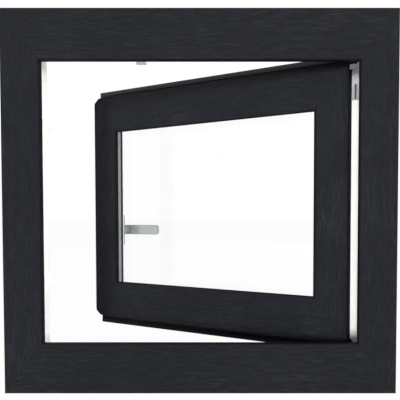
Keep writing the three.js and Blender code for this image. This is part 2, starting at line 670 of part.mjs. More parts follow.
add(frame, 'stay_bearing', frameBracket(STAY_KNUCKLES), zinc);
add(frame, 'stay_bearing_pin', hingePin(STAY_KNUCKLES), steel);
add(frame, 'corner_bracket', frameBracket(CORNER_KNUCKLES), zinc);
add(frame, 'corner_bracket_pin', hingePin(CORNER_KNUCKLES), steel);

// ---------------------------------------------------------------- tilting hinge at the lower corner
const TILT_PIN_X = [HINGE_X - TILT_PIN_REACH, HINGE_X - PIN_R - 1.2];
const ARM_BLOCK_X = HINGE_X - ARM_BLOCK_REACH;

// The arm turns on the corner bracket's pin and carries the tilting pin in a block below the flange.
function cornerArm() {
  const turned = rod('z', BARREL_R, [HINGE_X, HINGE_Y], CORNER_BARREL.from, CORNER_BARREL.to);
  const [low, high] = [TILT_Z - 5, FLANGE_P - 2 * FIT];
  const block = box(ARM_BLOCK_X, HINGE_X, HINGE_Y - 5, HINGE_Y + 5, low, high);
  const socket = rod('x', TILT_PIN_R + PIN_CLEARANCE, [HINGE_Y, TILT_Z],
    ARM_BLOCK_X - 1, TILT_PIN_X[1] + FIT);
  const bore = rod('z', PIN_R + PIN_CLEARANCE, [HINGE_X, HINGE_Y],
    CORNER_BARREL.from - 1, CORNER_BARREL.to + 1);
  return cut(join(turned, block), bore, socket);
}

// The sash's half of the hinge: a foot under the flange, a plate up the room face and two eyes.
function sashHinge() {
  const eyeR = TILT_DROP - FIT;
  const [x0, x1] = [TILT_PIN_X[0] + 2, ARM_BLOCK_X - 1];
  const foot = box(x0, x1, FLANGE_FACE + 1, SASH_BACK + FIT + LEAF, FLANGE_P - FIT - LEAF, FLANGE_P - FIT);
  const plate = box(x0, x1, SASH_BACK + FIT, SASH_BACK + FIT + LEAF, FLANGE_P - FIT - LEAF,
    FLANGE_P + SASH_HINGE_HEIGHT);
  const eyes = [[x0, x0 + TILT_EYE], [x1 - TILT_EYE, x1]].map(([a, b]) => (
    rod('x', eyeR, [HINGE_Y, TILT_Z], a, b)
  ));
  const bore = rod('x', TILT_PIN_R + PIN_CLEARANCE, [HINGE_Y, TILT_Z], x0 - 1, x1 + 1);
  return cut(join(foot, plate, ...eyes), bore);
}

add(leafGroup, 'corner_arm', cornerArm(), zinc);
add(leafGroup, 'tilt_pin', rod('x', TILT_PIN_R, [HINGE_Y, TILT_Z], ...TILT_PIN_X), steel);
add(leafGroup, 'sash_hinge', sashHinge(), zinc);

// ---------------------------------------------------------------- stay along the head
const STAY_Z = HEIGHT - SASH_EDGE_P + STAY_LIFT;
const STUD_X = HINGE_X - STAY_REACH;
const STUD_NECK_R = STUD_R - 0.8;  // where the stud passes through the stay
const STUD_PLAY = 0.8;             // between the stud and its slot
const STUD_SLOT = { back: 2, on: 10 };             // its slot's ends, past the stud on both sides
const LEAF_IN = CENTRE_SEAL.width + 2 * FIT;       // from the sash edge to the leaf, past the centre seal
const ELBOW_OUT = 7.5;
const LEAF_SLOT = { set: 3.4, width: 2.9, low: 1.4, length: 21.6 };   // from the leaf's edge and lower end

function stayArm() {
  const edge = stileX(SASH_EDGE_P);
  const leafBack = FLANGE_FACE - FIT;
  const leafFront = leafBack - LEAF;
  const [y0, y1] = [GROOVE_Y - STAY_WIDTH / 2, GROOVE_Y + STAY_WIDTH / 2];
  const strip = box(STUD_X, edge + ELBOW_OUT, y0, y1, STAY_Z, STAY_Z + STAY_THICK);
  const eye = rod('z', STAY_WIDTH / 2, [STUD_X, GROOVE_Y], STAY_Z, STAY_Z + STAY_THICK);
  const elbow = box(edge + LEAF_IN, edge + ELBOW_OUT, y1 - 3, leafBack, STAY_Z, STAY_Z + STAY_THICK);
  const leafBottom = STAY_LEAF_TOP - STAY_LEAF_DROP;
  const leafEdge = HINGE_X - BARREL_R - 2.8;
  const leaf = box(edge + LEAF_IN, leafEdge, leafFront, leafBack, leafBottom, STAY_LEAF_TOP);
  const neck = box(edge + LEAF_IN, HINGE_X - 2, leafFront, leafBack, STAY_BARREL.from, STAY_BARREL.to);
  const round = rod('z', BARREL_R, [HINGE_X, HINGE_Y], STAY_BARREL.from, STAY_BARREL.to);
  const bore = rod('z', PIN_R + PIN_CLEARANCE, [HINGE_X, HINGE_Y],
    STAY_BARREL.from - 1, STAY_BARREL.to + 1);
  const slotEdge = edge + LEAF_IN + LEAF_SLOT.set;
  const slotEnd = leafBottom + LEAF_SLOT.low;
  const slot = box(slotEdge, slotEdge + LEAF_SLOT.width, leafFront - 1, leafBack + 1,
    slotEnd, slotEnd + LEAF_SLOT.length);
  const studHole = rod('z', STUD_NECK_R + PIN_CLEARANCE, [STUD_X, GROOVE_Y],
    STAY_Z - 1, STAY_Z + STAY_THICK + 1);
  return cut(join(strip, eye, elbow, leaf, neck, round), bore, slot, studHole);
}

// Riveted in the stay's free end; its head runs in the slot of the head's face plate.
function stayStud() {
  const top = STAY_Z + STAY_THICK;
  const centre = [STUD_X, GROOVE_Y];
  return join(rod('z', STUD_NECK_R, centre, STAY_Z - 1, top + 1),
    rod('z', STUD_R + 1, centre, top + FIT, top + 1.6),
    rod('z', STUD_R, centre, STAY_Z - STAY_LIFT - 4.5, STAY_Z - FIT));
}

add(leafGroup, 'stay_arm', stayArm(), zinc);
add(leafGroup, 'stay_stud', stayStud(), steel);

// ---------------------------------------------------------------- face plates, rods and cams
const PLATE_P = { from: SASH_EDGE_P + FIT, to: SASH_EDGE_P + SEAT_DEPTH - FIT };
const PLATE_Y = [GROOVE_Y - SEAT_WIDTH / 2 + FIT, GROOVE_Y + SEAT_WIDTH / 2 - FIT];
const SLOT_HALF = ROD_TRAVEL + CAM_NECK_R + 1;
const SLOT_WIDTH = CAM_NECK_R + 0.6;
const PLATE_P_LOCK = [-stileX(PLATE_P.from), -stileX(PLATE_P.to)];

function lockPlate() {
  const [x0, x1] = PLATE_P_LOCK;
  const plate = box(x0, x1, ...PLATE_Y, HEIGHT / 2 - PLATE_HALF, HEIGHT / 2 + PLATE_HALF);
  const slots = CAM_Z.map((z) => box(x0 - 1, x1 + 1, GROOVE_Y - SLOT_WIDTH, GROOVE_Y + SLOT_WIDTH,
    z - SLOT_HALF, z + SLOT_HALF));
  return cut(plate, ...slots);
}

function headPlate() {
  const [z0, z1] = [HEIGHT - PLATE_P.to, HEIGHT - PLATE_P.from];
  const plate = box(-HEAD_PLATE_HALF, STUD_X + HEAD_PLATE_PAST, ...PLATE_Y, z0, z1);
  const camSlot = box(HEAD_CAM_X - SLOT_HALF, HEAD_CAM_X + SLOT_HALF,
    GROOVE_Y - SLOT_WIDTH, GROOVE_Y + SLOT_WIDTH, z0 - 1, z1 + 1);
  const studSlot = box(STUD_X - STUD_R - STUD_SLOT.back, STUD_X + STUD_R + STUD_SLOT.on,
    GROOVE_Y - STUD_R - STUD_PLAY, GROOVE_Y + STUD_R + STUD_PLAY, z0 - 1, z1 + 1);
  return cut(plate, camSlot, studSlot);
}

// Teeth that stand out along +a from a pitch line: `count` teeth centred on b = 0.
const MODULE = 2 * PINION_R / PINION_TEETH;
const PITCH = Math.PI * MODULE;
const BACKLASH = 0.35;
const ADDENDUM = 0.8 * MODULE;
const DEDENDUM = 1.05 * MODULE;

function rackRod() {
  const edge = -stileX(SASH_EDGE_P);
  const pitchX = SPINDLE_X - PINION_R;
  const back = edge + SEAT_DEPTH * STILE_RATIO + 0.1;
  const root = pitchX - DEDENDUM;
  const tip = pitchX + ADDENDUM;
  const half = PITCH / 4 - BACKLASH / 2;
  const slope = 0.42;
  const count = 11;
  const start = HEIGHT / 2 - PLATE_HALF + ROD_SHORT;
  const end = HEIGHT / 2 + PLATE_HALF - ROD_SHORT;
  const points = [[back, start], [root, start]];
  for (let tooth = 0; tooth < count; tooth += 1) {
    const z = HANDLE_Z + (tooth - (count - 1) / 2) * PITCH;
    points.push([root, z - half - slope], [tip, z - half + slope]);
    points.push([tip, z + half - slope], [root, z + half + slope]);
  }
  points.push([root, end], [back, end]);
  return facingOut(plateXZ(points, GROOVE_Y - ROD_WIDTH / 2, GROOVE_Y + ROD_WIDTH / 2));
}

// The pinion's tooth spaces stand opposite the rack's teeth at rest.
function pinion() {
  const step = 2 * Math.PI / PINION_TEETH;
  const half = step / 4 - BACKLASH / 2 / PINION_R;
  const points = [];
  for (let tooth = 0; tooth < PINION_TEETH; tooth += 1) {
    const middle = Math.PI + (tooth + 0.5) * step;
    const flank = [[PINION_R - DEDENDUM, -half - 0.05], [PINION_R + ADDENDUM, -half + 0.075],
      [PINION_R + ADDENDUM, half - 0.075], [PINION_R - DEDENDUM, half + 0.05]];
    for (const [r, a] of flank) {
      points.push([SPINDLE_X + r * Math.cos(middle + a), HANDLE_Z + r * Math.sin(middle + a)]);
    }
  }
  const wheel = facingOut(plateXZ(points, GROOVE_Y - PINION_THICK / 2, GROOVE_Y + PINION_THICK / 2));
  const hubHalf = GEAR_CASE.thick / 2 - 0.2;
  const hub = rod('y', HUB_R, [SPINDLE_X, HANDLE_Z], GROOVE_Y - hubHalf, GROOVE_Y + hubHalf);
  return cut(join(wheel, hub), spindleBar(SPINDLE / 2 + 0.2, 0, SASH_BACK));
}

function spindleBar(half, y0, y1) {
  return box(SPINDLE_X - half, SPINDLE_X + half, y0, y1, HANDLE_Z - half, HANDLE_Z + half);
}

function gearCase() {
  const edge = -stileX(SASH_EDGE_P);
  const { in0, in1, thick, wall, half, window } = GEAR_CASE;
  const body = box(edge + in0, edge + in1, GROOVE_Y - thick / 2, GROOVE_Y + thick / 2,
    HANDLE_Z - half, HANDLE_Z + half);
  const room = box(edge, edge + in1 - wall, GROOVE_Y - thick / 2 + wall, GROOVE_Y + thick / 2 - wall,
    HANDLE_Z - window, HANDLE_Z + window);
  const bearing = rod('y', HUB_R + PIN_CLEARANCE, [SPINDLE_X, HANDLE_Z], GROOVE_Y - thick, GROOVE_Y + thick);
  return cut(body, room, bearing);
}

// A mushroom cam: neck through the plate's slot, head outside. Its foot sits in the rod.
function camAt(axis, centre, start, direction, stand) {
  const tip = start + direction * (stand + SEAT_DEPTH);
  const spans = [[start, tip - direction * 0.5, CAM_NECK_R], [tip - direction * 2.2, tip, CAM_HEAD_R]];
  return join(...spans.map(([a, b, r]) => rod(axis, r, centre, Math.min(a, b), Math.max(a, b))));
}

// Angle over the corner of the two grooves, where a spring band carries the rod's stroke round it.
function cornerDrive() {
  const [x0, x1] = PLATE_P_LOCK;
  const [z0, z1] = [HEIGHT - PLATE_P.to, HEIGHT - PLATE_P.from];
  const bevel = CORNER_CUT + 1;
  const lowest = HEIGHT / 2 + PLATE_HALF + FIT;
  const inmost = -HEAD_PLATE_HALF - FIT;
  const thin = z1 - z0;
  return facingOut(plateXZ([
    [x0, lowest], [x1, lowest], [x1, z1 - bevel - thin * 0.4], [x0 + bevel + thin * 0.4, z0],
    [inmost, z0], [inmost, z1], [x0 + bevel, z1], [x0, z1 - bevel],
  ], ...PLATE_Y));
}

add(leafGroup, 'corner_drive', cornerDrive(), zinc);
add(leafGroup, 'lock_face_plate', lockPlate(), zinc);
add(leafGroup, 'head_face_plate', headPlate(), zinc);
add(leafGroup, 'gear_case', gearCase(), zinc);
add(leafGroup, 'drive_rod', rackRod(), steel);
const STILE_CAM_X = -stileX(SASH_EDGE_P) + SEAT_DEPTH * STILE_RATIO - 0.2;
for (const [name, z] of [['cam_lower', CAM_Z[0]], ['cam_upper', CAM_Z[1]]]) {
  add(leafGroup, name, camAt('x', [GROOVE_Y, z], STILE_CAM_X, -1, CAM_STAND), steel);
}
const HEAD_ROD_TOP = HEIGHT - SASH_EDGE_P - SEAT_DEPTH - 0.4;
const HEAD_ROD_START = HEAD_ROD_SHORT - HEAD_PLATE_HALF;
add(leafGroup, 'head_rod', box(HEAD_ROD_START, HEAD_CAM_X + HEAD_ROD_PAST,
  GROOVE_Y - ROD_WIDTH / 2, GROOVE_Y + ROD_WIDTH / 2, HEAD_ROD_TOP - HEAD_ROD_THICK, HEAD_ROD_TOP), steel);
const HEAD_CAM_FOOT = HEAD_ROD_TOP + FIT;
add(leafGroup, 'cam_head', camAt('z', [HEAD_CAM_X, GROOVE_Y], HEAD_CAM_FOOT, 1, HEAD_CAM_STAND), steel);

// ---------------------------------------------------------------- strikers on the frame
// A base on the frame's rebate and a wall on the room side that a cam runs behind when it locks.
const STRIKER = { base: 1.5, half: 7 };
const STRIKER_CLEAR = { lock: 3, head: 6 };        // from its wall's tip to the closed sash's edge

function striker(side, middle) {
  const scale = isRail(side) ? 1 : STILE_RATIO;
  const foot = FRAME_BODY + FIT / scale;
  const base = foot + STRIKER.base / scale;
  const tip = SASH_EDGE_P - STRIKER_CLEAR[side] / scale;
  const [y0, y1] = [GROOVE_Y - GROOVE_WIDTH / 2, FRAME_DEPTH - 1];
  const wallY = GROOVE_Y + CAM_HEAD_R + 0.5;
  const outline = [[foot, y0], [base, y0], [base, wallY], [tip, wallY], [tip, y1], [foot, y1]];
  const length = bar(side, outline, [], () => STRIKER.half);
  return isRail(side) ? length.translate(middle, 0, 0) : length.translate(0, 0, middle - HEIGHT / 2);
}

add(frame, 'striker_lower', striker('lock', CAM_Z[0] + ROD_TRAVEL), zinc);
add(frame, 'striker_upper', striker('lock', CAM_Z[1] + ROD_TRAVEL), zinc);
add(frame, 'striker_head', striker('head', HEAD_CAM_X + ROD_TRAVEL), zinc);

// ---------------------------------------------------------------- handle
function handleRose() {
  const y = SASH_BACK + FIT;
  const outline = roundRectangle(ROSE.width / 2, ROSE.height / 2, ROSE_ROUND, 6, [SPINDLE_X, HANDLE_Z]);
  const neckHole = rod('y', LEVER_NECK_R + 0.5, [SPINDLE_X, HANDLE_Z], y - 1, y + ROSE.thick + 1, 32);
  const centres = [-1, 1].map((s) => [SPINDLE_X, HANDLE_Z + s * SCREW_SPACING / 2]);
  const screwHoles = centres.map((centre) => rod('y', SCREW_R + 0.5, centre, y - 1, y + ROSE_SEAT + 0.2));
  const seats = centres.map((centre) => (
    rod('y', SCREW_HEAD_R + 0.4, centre, y + ROSE_SEAT, y + ROSE.thick + 1)
  ));
  return cut(plateXZ(outline, y, y + ROSE.thick), neckHole, ...screwHoles, ...seats);
}

function roseScrew(s) {
  const y = SASH_BACK + FIT;
  const centre = [SPINDLE_X, HANDLE_Z + s * SCREW_SPACING / 2];
  const [seat, top] = [y + ROSE_SEAT + FIT, y + ROSE.thick - FIT];
  return join(rod('y', SCREW_R, centre, y + FIT, top - 0.5), rod('y', SCREW_HEAD_R, centre, seat, top));
}

// The lever: a round neck out of the rose and a flat grip with round ends.
function lever() {
  const y0 = SASH_BACK + LEVER_STAND;
  const y1 = y0 + LEVER_THICK;
  const r = LEVER_HEIGHT / 2;
  const middle = [SPINDLE_X + (LEVER_REACH - r) / 2, HANDLE_Z];
  const outline = roundRectangle((LEVER_REACH + r) / 2, r, r * 0.55, 6, middle);
  const grip = facingOut(plateXZ(outline, y0, y1));
  const neck = rod('y', LEVER_NECK_R, [SPINDLE_X, HANDLE_Z], SASH_BACK + FIT + 2.5, y0 + 1, 32);
  return cut(join(grip, neck), spindleBar(SPINDLE / 2 + 0.2, 0, y0));
}

add(leafGroup, 'handle_rose', handleRose(), silver);
add(leafGroup, 'rose_screw_lower', roseScrew(-1), steel);
add(leafGroup, 'rose_screw_upper', roseScrew(1), steel);
add(leafGroup, 'handle_lever', lever(), silver);
add(leafGroup, 'handle_spindle', spindleBar(SPINDLE / 2,
  GROOVE_Y - GEAR_CASE.thick / 2 + 1, SASH_BACK + LEVER_STAND - FIT), steel);
add(leafGroup, 'drive_pinion', pinion(), steel);

export default part;
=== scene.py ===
"""Looks of a tilt-and-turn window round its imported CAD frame. Metres, +Z up, outdoors towards -Y.

The sash rests part open, so what belongs to it is worked out closed, where its bars lie along the axes, and
then swung about the turning axis. Both directions of that swing come from the joint in the frame.
"""

import json
import math

import bmesh
import bpy
from mathutils import Matrix, Vector


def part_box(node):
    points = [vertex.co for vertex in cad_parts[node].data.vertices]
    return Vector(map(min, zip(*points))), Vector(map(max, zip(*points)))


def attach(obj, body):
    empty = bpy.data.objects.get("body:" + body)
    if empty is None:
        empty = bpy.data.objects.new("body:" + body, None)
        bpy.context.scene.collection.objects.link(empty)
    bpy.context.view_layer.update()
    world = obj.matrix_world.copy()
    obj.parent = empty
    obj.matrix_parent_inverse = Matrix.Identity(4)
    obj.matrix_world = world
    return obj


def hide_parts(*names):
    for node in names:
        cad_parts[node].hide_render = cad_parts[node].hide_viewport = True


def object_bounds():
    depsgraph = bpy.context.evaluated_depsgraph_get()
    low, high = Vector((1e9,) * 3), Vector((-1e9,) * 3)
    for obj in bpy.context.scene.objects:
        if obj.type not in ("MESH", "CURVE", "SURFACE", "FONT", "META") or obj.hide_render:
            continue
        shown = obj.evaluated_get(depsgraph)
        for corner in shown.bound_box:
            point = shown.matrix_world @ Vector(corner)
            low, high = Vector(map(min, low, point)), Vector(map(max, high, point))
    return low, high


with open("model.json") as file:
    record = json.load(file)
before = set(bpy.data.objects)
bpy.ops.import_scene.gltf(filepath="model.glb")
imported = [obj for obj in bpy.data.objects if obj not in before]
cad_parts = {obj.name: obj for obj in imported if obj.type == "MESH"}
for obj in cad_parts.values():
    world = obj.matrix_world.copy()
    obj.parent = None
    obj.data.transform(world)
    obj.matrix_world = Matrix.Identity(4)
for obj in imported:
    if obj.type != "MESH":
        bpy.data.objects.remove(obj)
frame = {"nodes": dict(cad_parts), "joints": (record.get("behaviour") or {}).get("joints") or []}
cad_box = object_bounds()
NODES = frame["nodes"]
JOINTS = {joint["name"]: joint for joint in frame["joints"]}
MM = 0.001

# ------------------------------------------------------------------ places read from the frame
HEIGHT = cad_box[1].z
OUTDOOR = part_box("frame_head")[0].y          # plane of the frame's outdoor face
TURN_AXIS = Vector(JOINTS["sash_turn"]["pos_m"])
REST_OPEN = math.radians(-JOINTS["sash_turn"]["range_deg"][0])
SWING = (
    Matrix.Translation(TURN_AXIS)
    @ Matrix.Rotation(-REST_OPEN, 4, "Z")
    @ Matrix.Translation(-TURN_AXIS)
)                                            # from the closed sash to the sash at rest
CLOSE = SWING.inverted()


def closed_box(node):
    """Lowest and highest corner of a sash node as it lies when the sash is closed."""
    points = [CLOSE @ vertex.co for vertex in NODES[node].data.vertices]
    low = Vector(min(p[i] for p in points) for i in range(3))
    high = Vector(max(p[i] for p in points) for i in range(3))
    return low, high


# ------------------------------------------------------------------ shader helpers
def node_maths(tree, operation, a, b):
    """A maths node between two sockets or numbers."""
    made = tree.nodes.new("ShaderNodeMath")
    made.operation = operation
    for socket, value in zip(made.inputs, (a, b)):
        if isinstance(value, (int, float)):
            socket.default_value = value
        else:
            tree.links.new(value, socket)
    return made.outputs["Value"]


class Shader:
    """A material's node tree with one Principled shader, and short ways to add to it."""

    def __init__(self, name):
        self.material = bpy.data.materials.new(name)
        self.material.use_nodes = True
        self.tree = self.material.node_tree
        self.principled = self.tree.nodes["Principled BSDF"]

    def node(self, kind, **settings):
        made = self.tree.nodes.new(kind)
        for name, value in settings.items():
            setattr(made, name, value)
        return made

    def link(self, start, end):
        self.tree.links.new(start, end)

    def set(self, **values):
        for name, value in values.items():
            self.principled.inputs[name.replace("_", " ")].default_value = value
        return self

    def object_points(self, scale, turn=0.0):
        """Object coordinates turned about Z and scaled along each axis."""
        points = self.node("ShaderNodeTexCoord").outputs["Object"]
        mapping = self.node("ShaderNodeMapping")
        mapping.inputs["Rotation"].default_value = (0, 0, turn)
        self.link(points, mapping.inputs["Vector"])
        stretched = self.node("ShaderNodeMapping")
        stretched.inputs["Scale"].default_value = scale
        self.link(mapping.outputs["Vector"], stretched.inputs["Vector"])
        return stretched.outputs["Vector"]

    def noise(self, points, scale, detail=2.0, roughness=0.5, distortion=0.0):
        made = self.node("ShaderNodeTexNoise")
        made.inputs["Scale"].default_value = scale
        made.inputs["Detail"].default_value = detail
        made.inputs["Roughness"].default_value = roughness
        made.inputs["Distortion"].default_value = distortion
        self.link(points, made.inputs["Vector"])
        return made.outputs["Fac"]

    def height(self, low, high):
        """0 below one height, 1 above another, smooth between them."""
        split = self.node("ShaderNodeSeparateXYZ")
        self.link(self.object_points((1, 1, 1)), split.inputs["Vector"])
        made = self.node("ShaderNodeMapRange", interpolation_type="SMOOTHSTEP")
        made.inputs["From Min"].default_value = low
        made.inputs["From Max"].default_value = high
        self.link(split.outputs["Z"], made.inputs["Value"])
        return made.outputs["Result"]

    def ramp(self, value, stops):
        """A colour ramp of (position, linear colour or grey) stops."""
        made = self.node("ShaderNodeValToRGB")
        elements = made.color_ramp.elements
        while len(elements) < len(stops):
            elements.new(0.5)
        for element, (position, colour) in zip(elements, stops):
            element.position = position
            grey = not isinstance(colour, (tuple, list))
            element.color = (colour, colour, colour, 1) if grey else (*colour, 1)
        self.link(value, made.inputs["Fac"])
        return made.outputs["Color"]

    def maths(self, operation, a, b):
        return node_maths(self.tree, operation, a, b)

    def bump(self, height, distance, strength=1.0, onto=None):
        made = self.node("ShaderNodeBump")
        made.inputs["Strength"].default_value = strength
        made.inputs["Distance"].default_value = distance
        self.link(height, made.inputs["Height"])
        if onto is not None:
            self.link(onto, made.inputs["Normal"])
        return made.outputs["Normal"]

    def colour(self, output):
        self.link(output, self.principled.inputs["Base Color"])

    def roughness(self, output):
        self.link(output, self.principled.inputs["Roughness"])

    def normal(self, output):
        self.link(output, self.principled.inputs["Normal"])


def srgb(red, green, blue):
    """Linear colour from 0..255 display values."""
    def linear(value):
        value /= 255
        return value / 12.92 if value <= 0.04045 else ((value + 0.055) / 1.055) ** 2.4
    return tuple(linear(v) for v in (red, green, blue))


# ------------------------------------------------------------------ materials
GRAIN_LENGTH = 70.0         # noise cycles per metre along a bar
GRAIN_WIDTH = 620.0         # and across it
SEAL_PAINTED_LIGHT_HEIGHTS = (0.38, 0.45)    # heights between which the sash's outer seal is painted paler: painted light from above on its upper part
LEAF_PAINTED_LIGHT_HEIGHTS = (0.415, 0.447)       # and between which the stay's leaf is painted brighter: painted light against the shade under the frame head's lip
SASH_PAINTED_LIGHT = 1.15            # the sash's film over the frame's: painted light, lighter to stand in for the light the sash misses deeper in the opening


def foil(name, along, turn=0.0, painted_light_share=1.0):
    """Embossed anthracite wood-grain film. Its grain runs along the bar."""
    shader = Shader(name)
    stretch = {"x": (GRAIN_LENGTH, GRAIN_WIDTH, GRAIN_WIDTH), "z": (GRAIN_WIDTH, GRAIN_WIDTH, GRAIN_LENGTH)}
    streaks = shader.noise(shader.object_points(stretch[along], turn), 1.0, detail=3, distortion=0.4)
    clouds = shader.noise(shader.object_points((11, 11, 11)), 1.0, detail=2)
    # The strokes crowd together in some places and are missing in others.
    tone = shader.maths("ADD", streaks, shader.maths("MULTIPLY", shader.maths("SUBTRACT", clouds, 0.5), 0.35))
    tones = [(0.34, (20, 21, 24)), (0.5, (22.5, 23.5, 26.5)), (0.6, (25, 26, 29)), (0.72, (31, 32, 35))]
    # The share scales the whole ramp; above 1 it is painted light.
    shader.colour(shader.ramp(tone, [(at, srgb(*(c * painted_light_share for c in colour))) for at, colour in tones]))
    pores = shader.ramp(streaks, [(0.36, 0.0), (0.5, 1.0)])
    shader.normal(shader.bump(pores, 0.00008, 0.5))
    shader.roughness(shader.ramp(clouds, [(0.2, 0.64), (0.8, 0.72)]))
    shader.set(Specular_IOR_Level=0.06)
    return shader.material


def foil_edge_painted_shade(name):
    """The same film where it is drawn round the bars' edges, stretched smooth, and coloured darker: painted
    shade on the edges and sides.
    """
    shader = Shader(name)
    streaks = shader.noise(shader.object_points((60, 60, 60)), 1.0, detail=4)
    shader.colour(shader.ramp(streaks, [(0.3, srgb(15, 16, 18)), (0.7, srgb(21, 22, 25))]))
    shader.normal(shader.bump(streaks, 0.00004, 0.4))
    shader.roughness(shader.ramp(streaks, [(0.3, 0.55), (0.7, 0.68)]))
    shader.set(Specular_IOR_Level=0.08)
    return shader.material


def white_pvc(name):
    """Smooth white uPVC with a faint orange-peel surface."""
    shader = Shader(name)
    points = shader.object_points((1, 1, 1))
    shader.colour(shader.ramp(shader.noise(points, 14, detail=3), [
        (0.3, srgb(244, 244, 242)), (0.7, srgb(249, 249, 248))]))
    shader.normal(shader.bump(shader.noise(points, 900, detail=2), 0.00002, 0.5))
    shader.roughness(shader.ramp(shader.noise(points, 30), [(0.3, 0.3), (0.7, 0.42)]))
    shader.set(Specular_IOR_Level=0.4)
    return shader.material


def rubber(name, dark, light):
    """Extruded seal: matt, with fine lines and a dusting of paler bloom."""
    shader = Shader(name)
    points = shader.object_points((1, 1, 1))
    speckle = shader.noise(points, 700, detail=4, roughness=0.7)
    shader.colour(shader.ramp(speckle, [(0.35, dark), (0.65, light)]))
    shader.normal(shader.bump(speckle, 0.00004, 0.6))
    shader.roughness(shader.ramp(speckle, [(0.3, 0.72), (0.7, 0.88)]))
    shader.set(Specular_IOR_Level=0.2)
    return shader.material


def flange_rubber_painted_light(name):
    """The sash's outer seal: black, speckled, and painted paler towards the top: painted light for the light
    from above that its lower part misses.
    """
    shader = Shader(name)
    points = shader.object_points((1, 1, 1))
    speckle = shader.noise(points, 700, detail=4, roughness=0.7)
    # Painted light: the seal grows paler with height.
    tone = shader.maths("ADD", shader.height(*SEAL_PAINTED_LIGHT_HEIGHTS),
                        shader.maths("MULTIPLY", shader.maths("SUBTRACT", speckle, 0.5), 0.3))
    shader.colour(shader.ramp(tone, [(0.0, srgb(24, 25, 27)), (1.0, srgb(72, 74, 73))]))
    shader.normal(shader.bump(speckle, 0.00004, 0.6))
    shader.roughness(shader.ramp(speckle, [(0.3, 0.72), (0.7, 0.88)]))
    shader.set(Specular_IOR_Level=0.15)
    return shader.material


def metal(name, dark, light, rough, stretch=(1, 1, 1), scale=160, turn=0.0, metallic=1.0):
    """Plated or lacquered metal with fine marks; `stretch` draws them out along an axis."""
    shader = Shader(name)
    points = shader.object_points(stretch, turn)
    marks = shader.noise(points, scale, detail=5, roughness=0.6)
    shader.colour(shader.ramp(marks, [(0.3, dark), (0.7, light)]))
    shader.roughness(shader.ramp(marks, [(0.25, rough - 0.06), (0.75, rough + 0.08)]))
    shader.normal(shader.bump(marks, 0.00002, 0.4))
    shader.set(Metallic=metallic)
    return shader.material


def leaf_metal_painted_light(name, low, high):
    """Zinc of the stay's leaf: brushed, and painted brighter towards its upper end: painted light against the
    shade the frame head's lip casts there.
    """
    shader = Shader(name)
    marks = shader.noise(shader.object_points((1, 1, 0.08)), 420, detail=4, roughness=0.6)
    # Painted light: the zinc brightens with height.
    tone = shader.maths("ADD", shader.height(*LEAF_PAINTED_LIGHT_HEIGHTS),
                        shader.maths("MULTIPLY", shader.maths("SUBTRACT", marks, 0.5), 0.2))
    shader.colour(shader.ramp(tone, [(0.0, low), (1.0, high)]))
    shader.roughness(shader.ramp(marks, [(0.25, 0.5), (0.75, 0.62)]))
    shader.normal(shader.bump(marks, 0.00002, 0.4))
    shader.set(Metallic=0.1)
    return shader.material


def spacer_metal(name):
    """Rolled aluminium spacer with a mottled surface."""
    shader = Shader(name)
    points = shader.object_points((1, 1, 1))
    mottle = shader.noise(points, 220, detail=4)
    shader.colour(shader.ramp(mottle, [(0.3, srgb(150, 151, 154)), (0.7, srgb(176, 177, 180))]))
    shader.roughness(shader.ramp(mottle, [(0.3, 0.38), (0.7, 0.52)]))
    shader.normal(shader.bump(mottle, 0.00003, 0.4))
    shader.set(Metallic=0.7)
    return shader.material


def clear_glass(name):
    """Float glass. Lamps pass through it, so that what is behind it is lit."""
    shader = Shader(name)
    shader.set(Base_Color=(0.995, 1.0, 0.998, 1), Roughness=0.0, IOR=1.25, Transmission_Weight=1.0)
    output = shader.tree.nodes["Material Output"]
    clear = shader.node("ShaderNodeBsdfTransparent")
    clear.inputs["Color"].default_value = (0.97, 0.99, 0.98, 1)
    path = shader.node("ShaderNodeLightPath")
    mix = shader.node("ShaderNodeMixShader")
    shader.link(path.outputs["Is Shadow Ray"], mix.inputs["Fac"])
    shader.link(shader.principled.outputs["BSDF"], mix.inputs[1])
    shader.link(clear.outputs["BSDF"], mix.inputs[2])
    shader.link(mix.outputs["Shader"], output.inputs["Surface"])
    return shader.material


def plastic(name, dark, light):
    shader = Shader(name)
    points = shader.object_points((1, 1, 1))
    grain = shader.noise(points, 500, detail=3)
    shader.colour(shader.ramp(grain, [(0.3, dark), (0.7, light)]))
    shader.normal(shader.bump(grain, 0.00003, 0.5))
    shader.roughness(shader.ramp(grain, [(0.3, 0.5), (0.7, 0.65)]))
    return shader.material


FOIL = {
    ("frame", "x"): foil("foil_frame_rails", "x"),
    ("frame", "z"): foil("foil_stiles", "z"),
    # The sash's copies of the film are painted lighter: painted light for the shade deeper in the opening.
    ("sash", "x"): foil("foil_sash_rails_painted_light", "x", turn=REST_OPEN, painted_light_share=SASH_PAINTED_LIGHT),
    ("sash", "z"): foil("foil_sash_stiles_painted_light", "z", turn=REST_OPEN, painted_light_share=SASH_PAINTED_LIGHT),
}
FOIL_EDGE_PAINTED_SHADE = foil_edge_painted_shade("foil_edge_painted_shade")
WHITE = white_pvc("white_pvc")
EPDM = rubber("epdm", srgb(26, 27, 29), srgb(38, 39, 41))
GLAZING_EPDM = rubber("epdm_glazing", srgb(12, 12, 13), srgb(19, 20, 21))
FLANGE_EPDM_PAINTED_LIGHT = flange_rubber_painted_light("epdm_flange_painted_light")
ZINC = metal("zinc", srgb(150, 152, 156), srgb(178, 180, 183), 0.42)
STEEL = metal("plated_steel", srgb(140, 142, 145), srgb(172, 174, 177), 0.36)
GALVANISED = metal("galvanised", srgb(128, 132, 136), srgb(176, 180, 184), 0.5, scale=60)
SILVER = metal("silver_lacquer", srgb(141, 142, 142), srgb(148, 149, 149), 0.65, metallic=0.0)
LEAF_ZINC_PAINTED_LIGHT = leaf_metal_painted_light("zinc_leaf_painted_light", srgb(176, 177, 179), srgb(252, 252, 253))
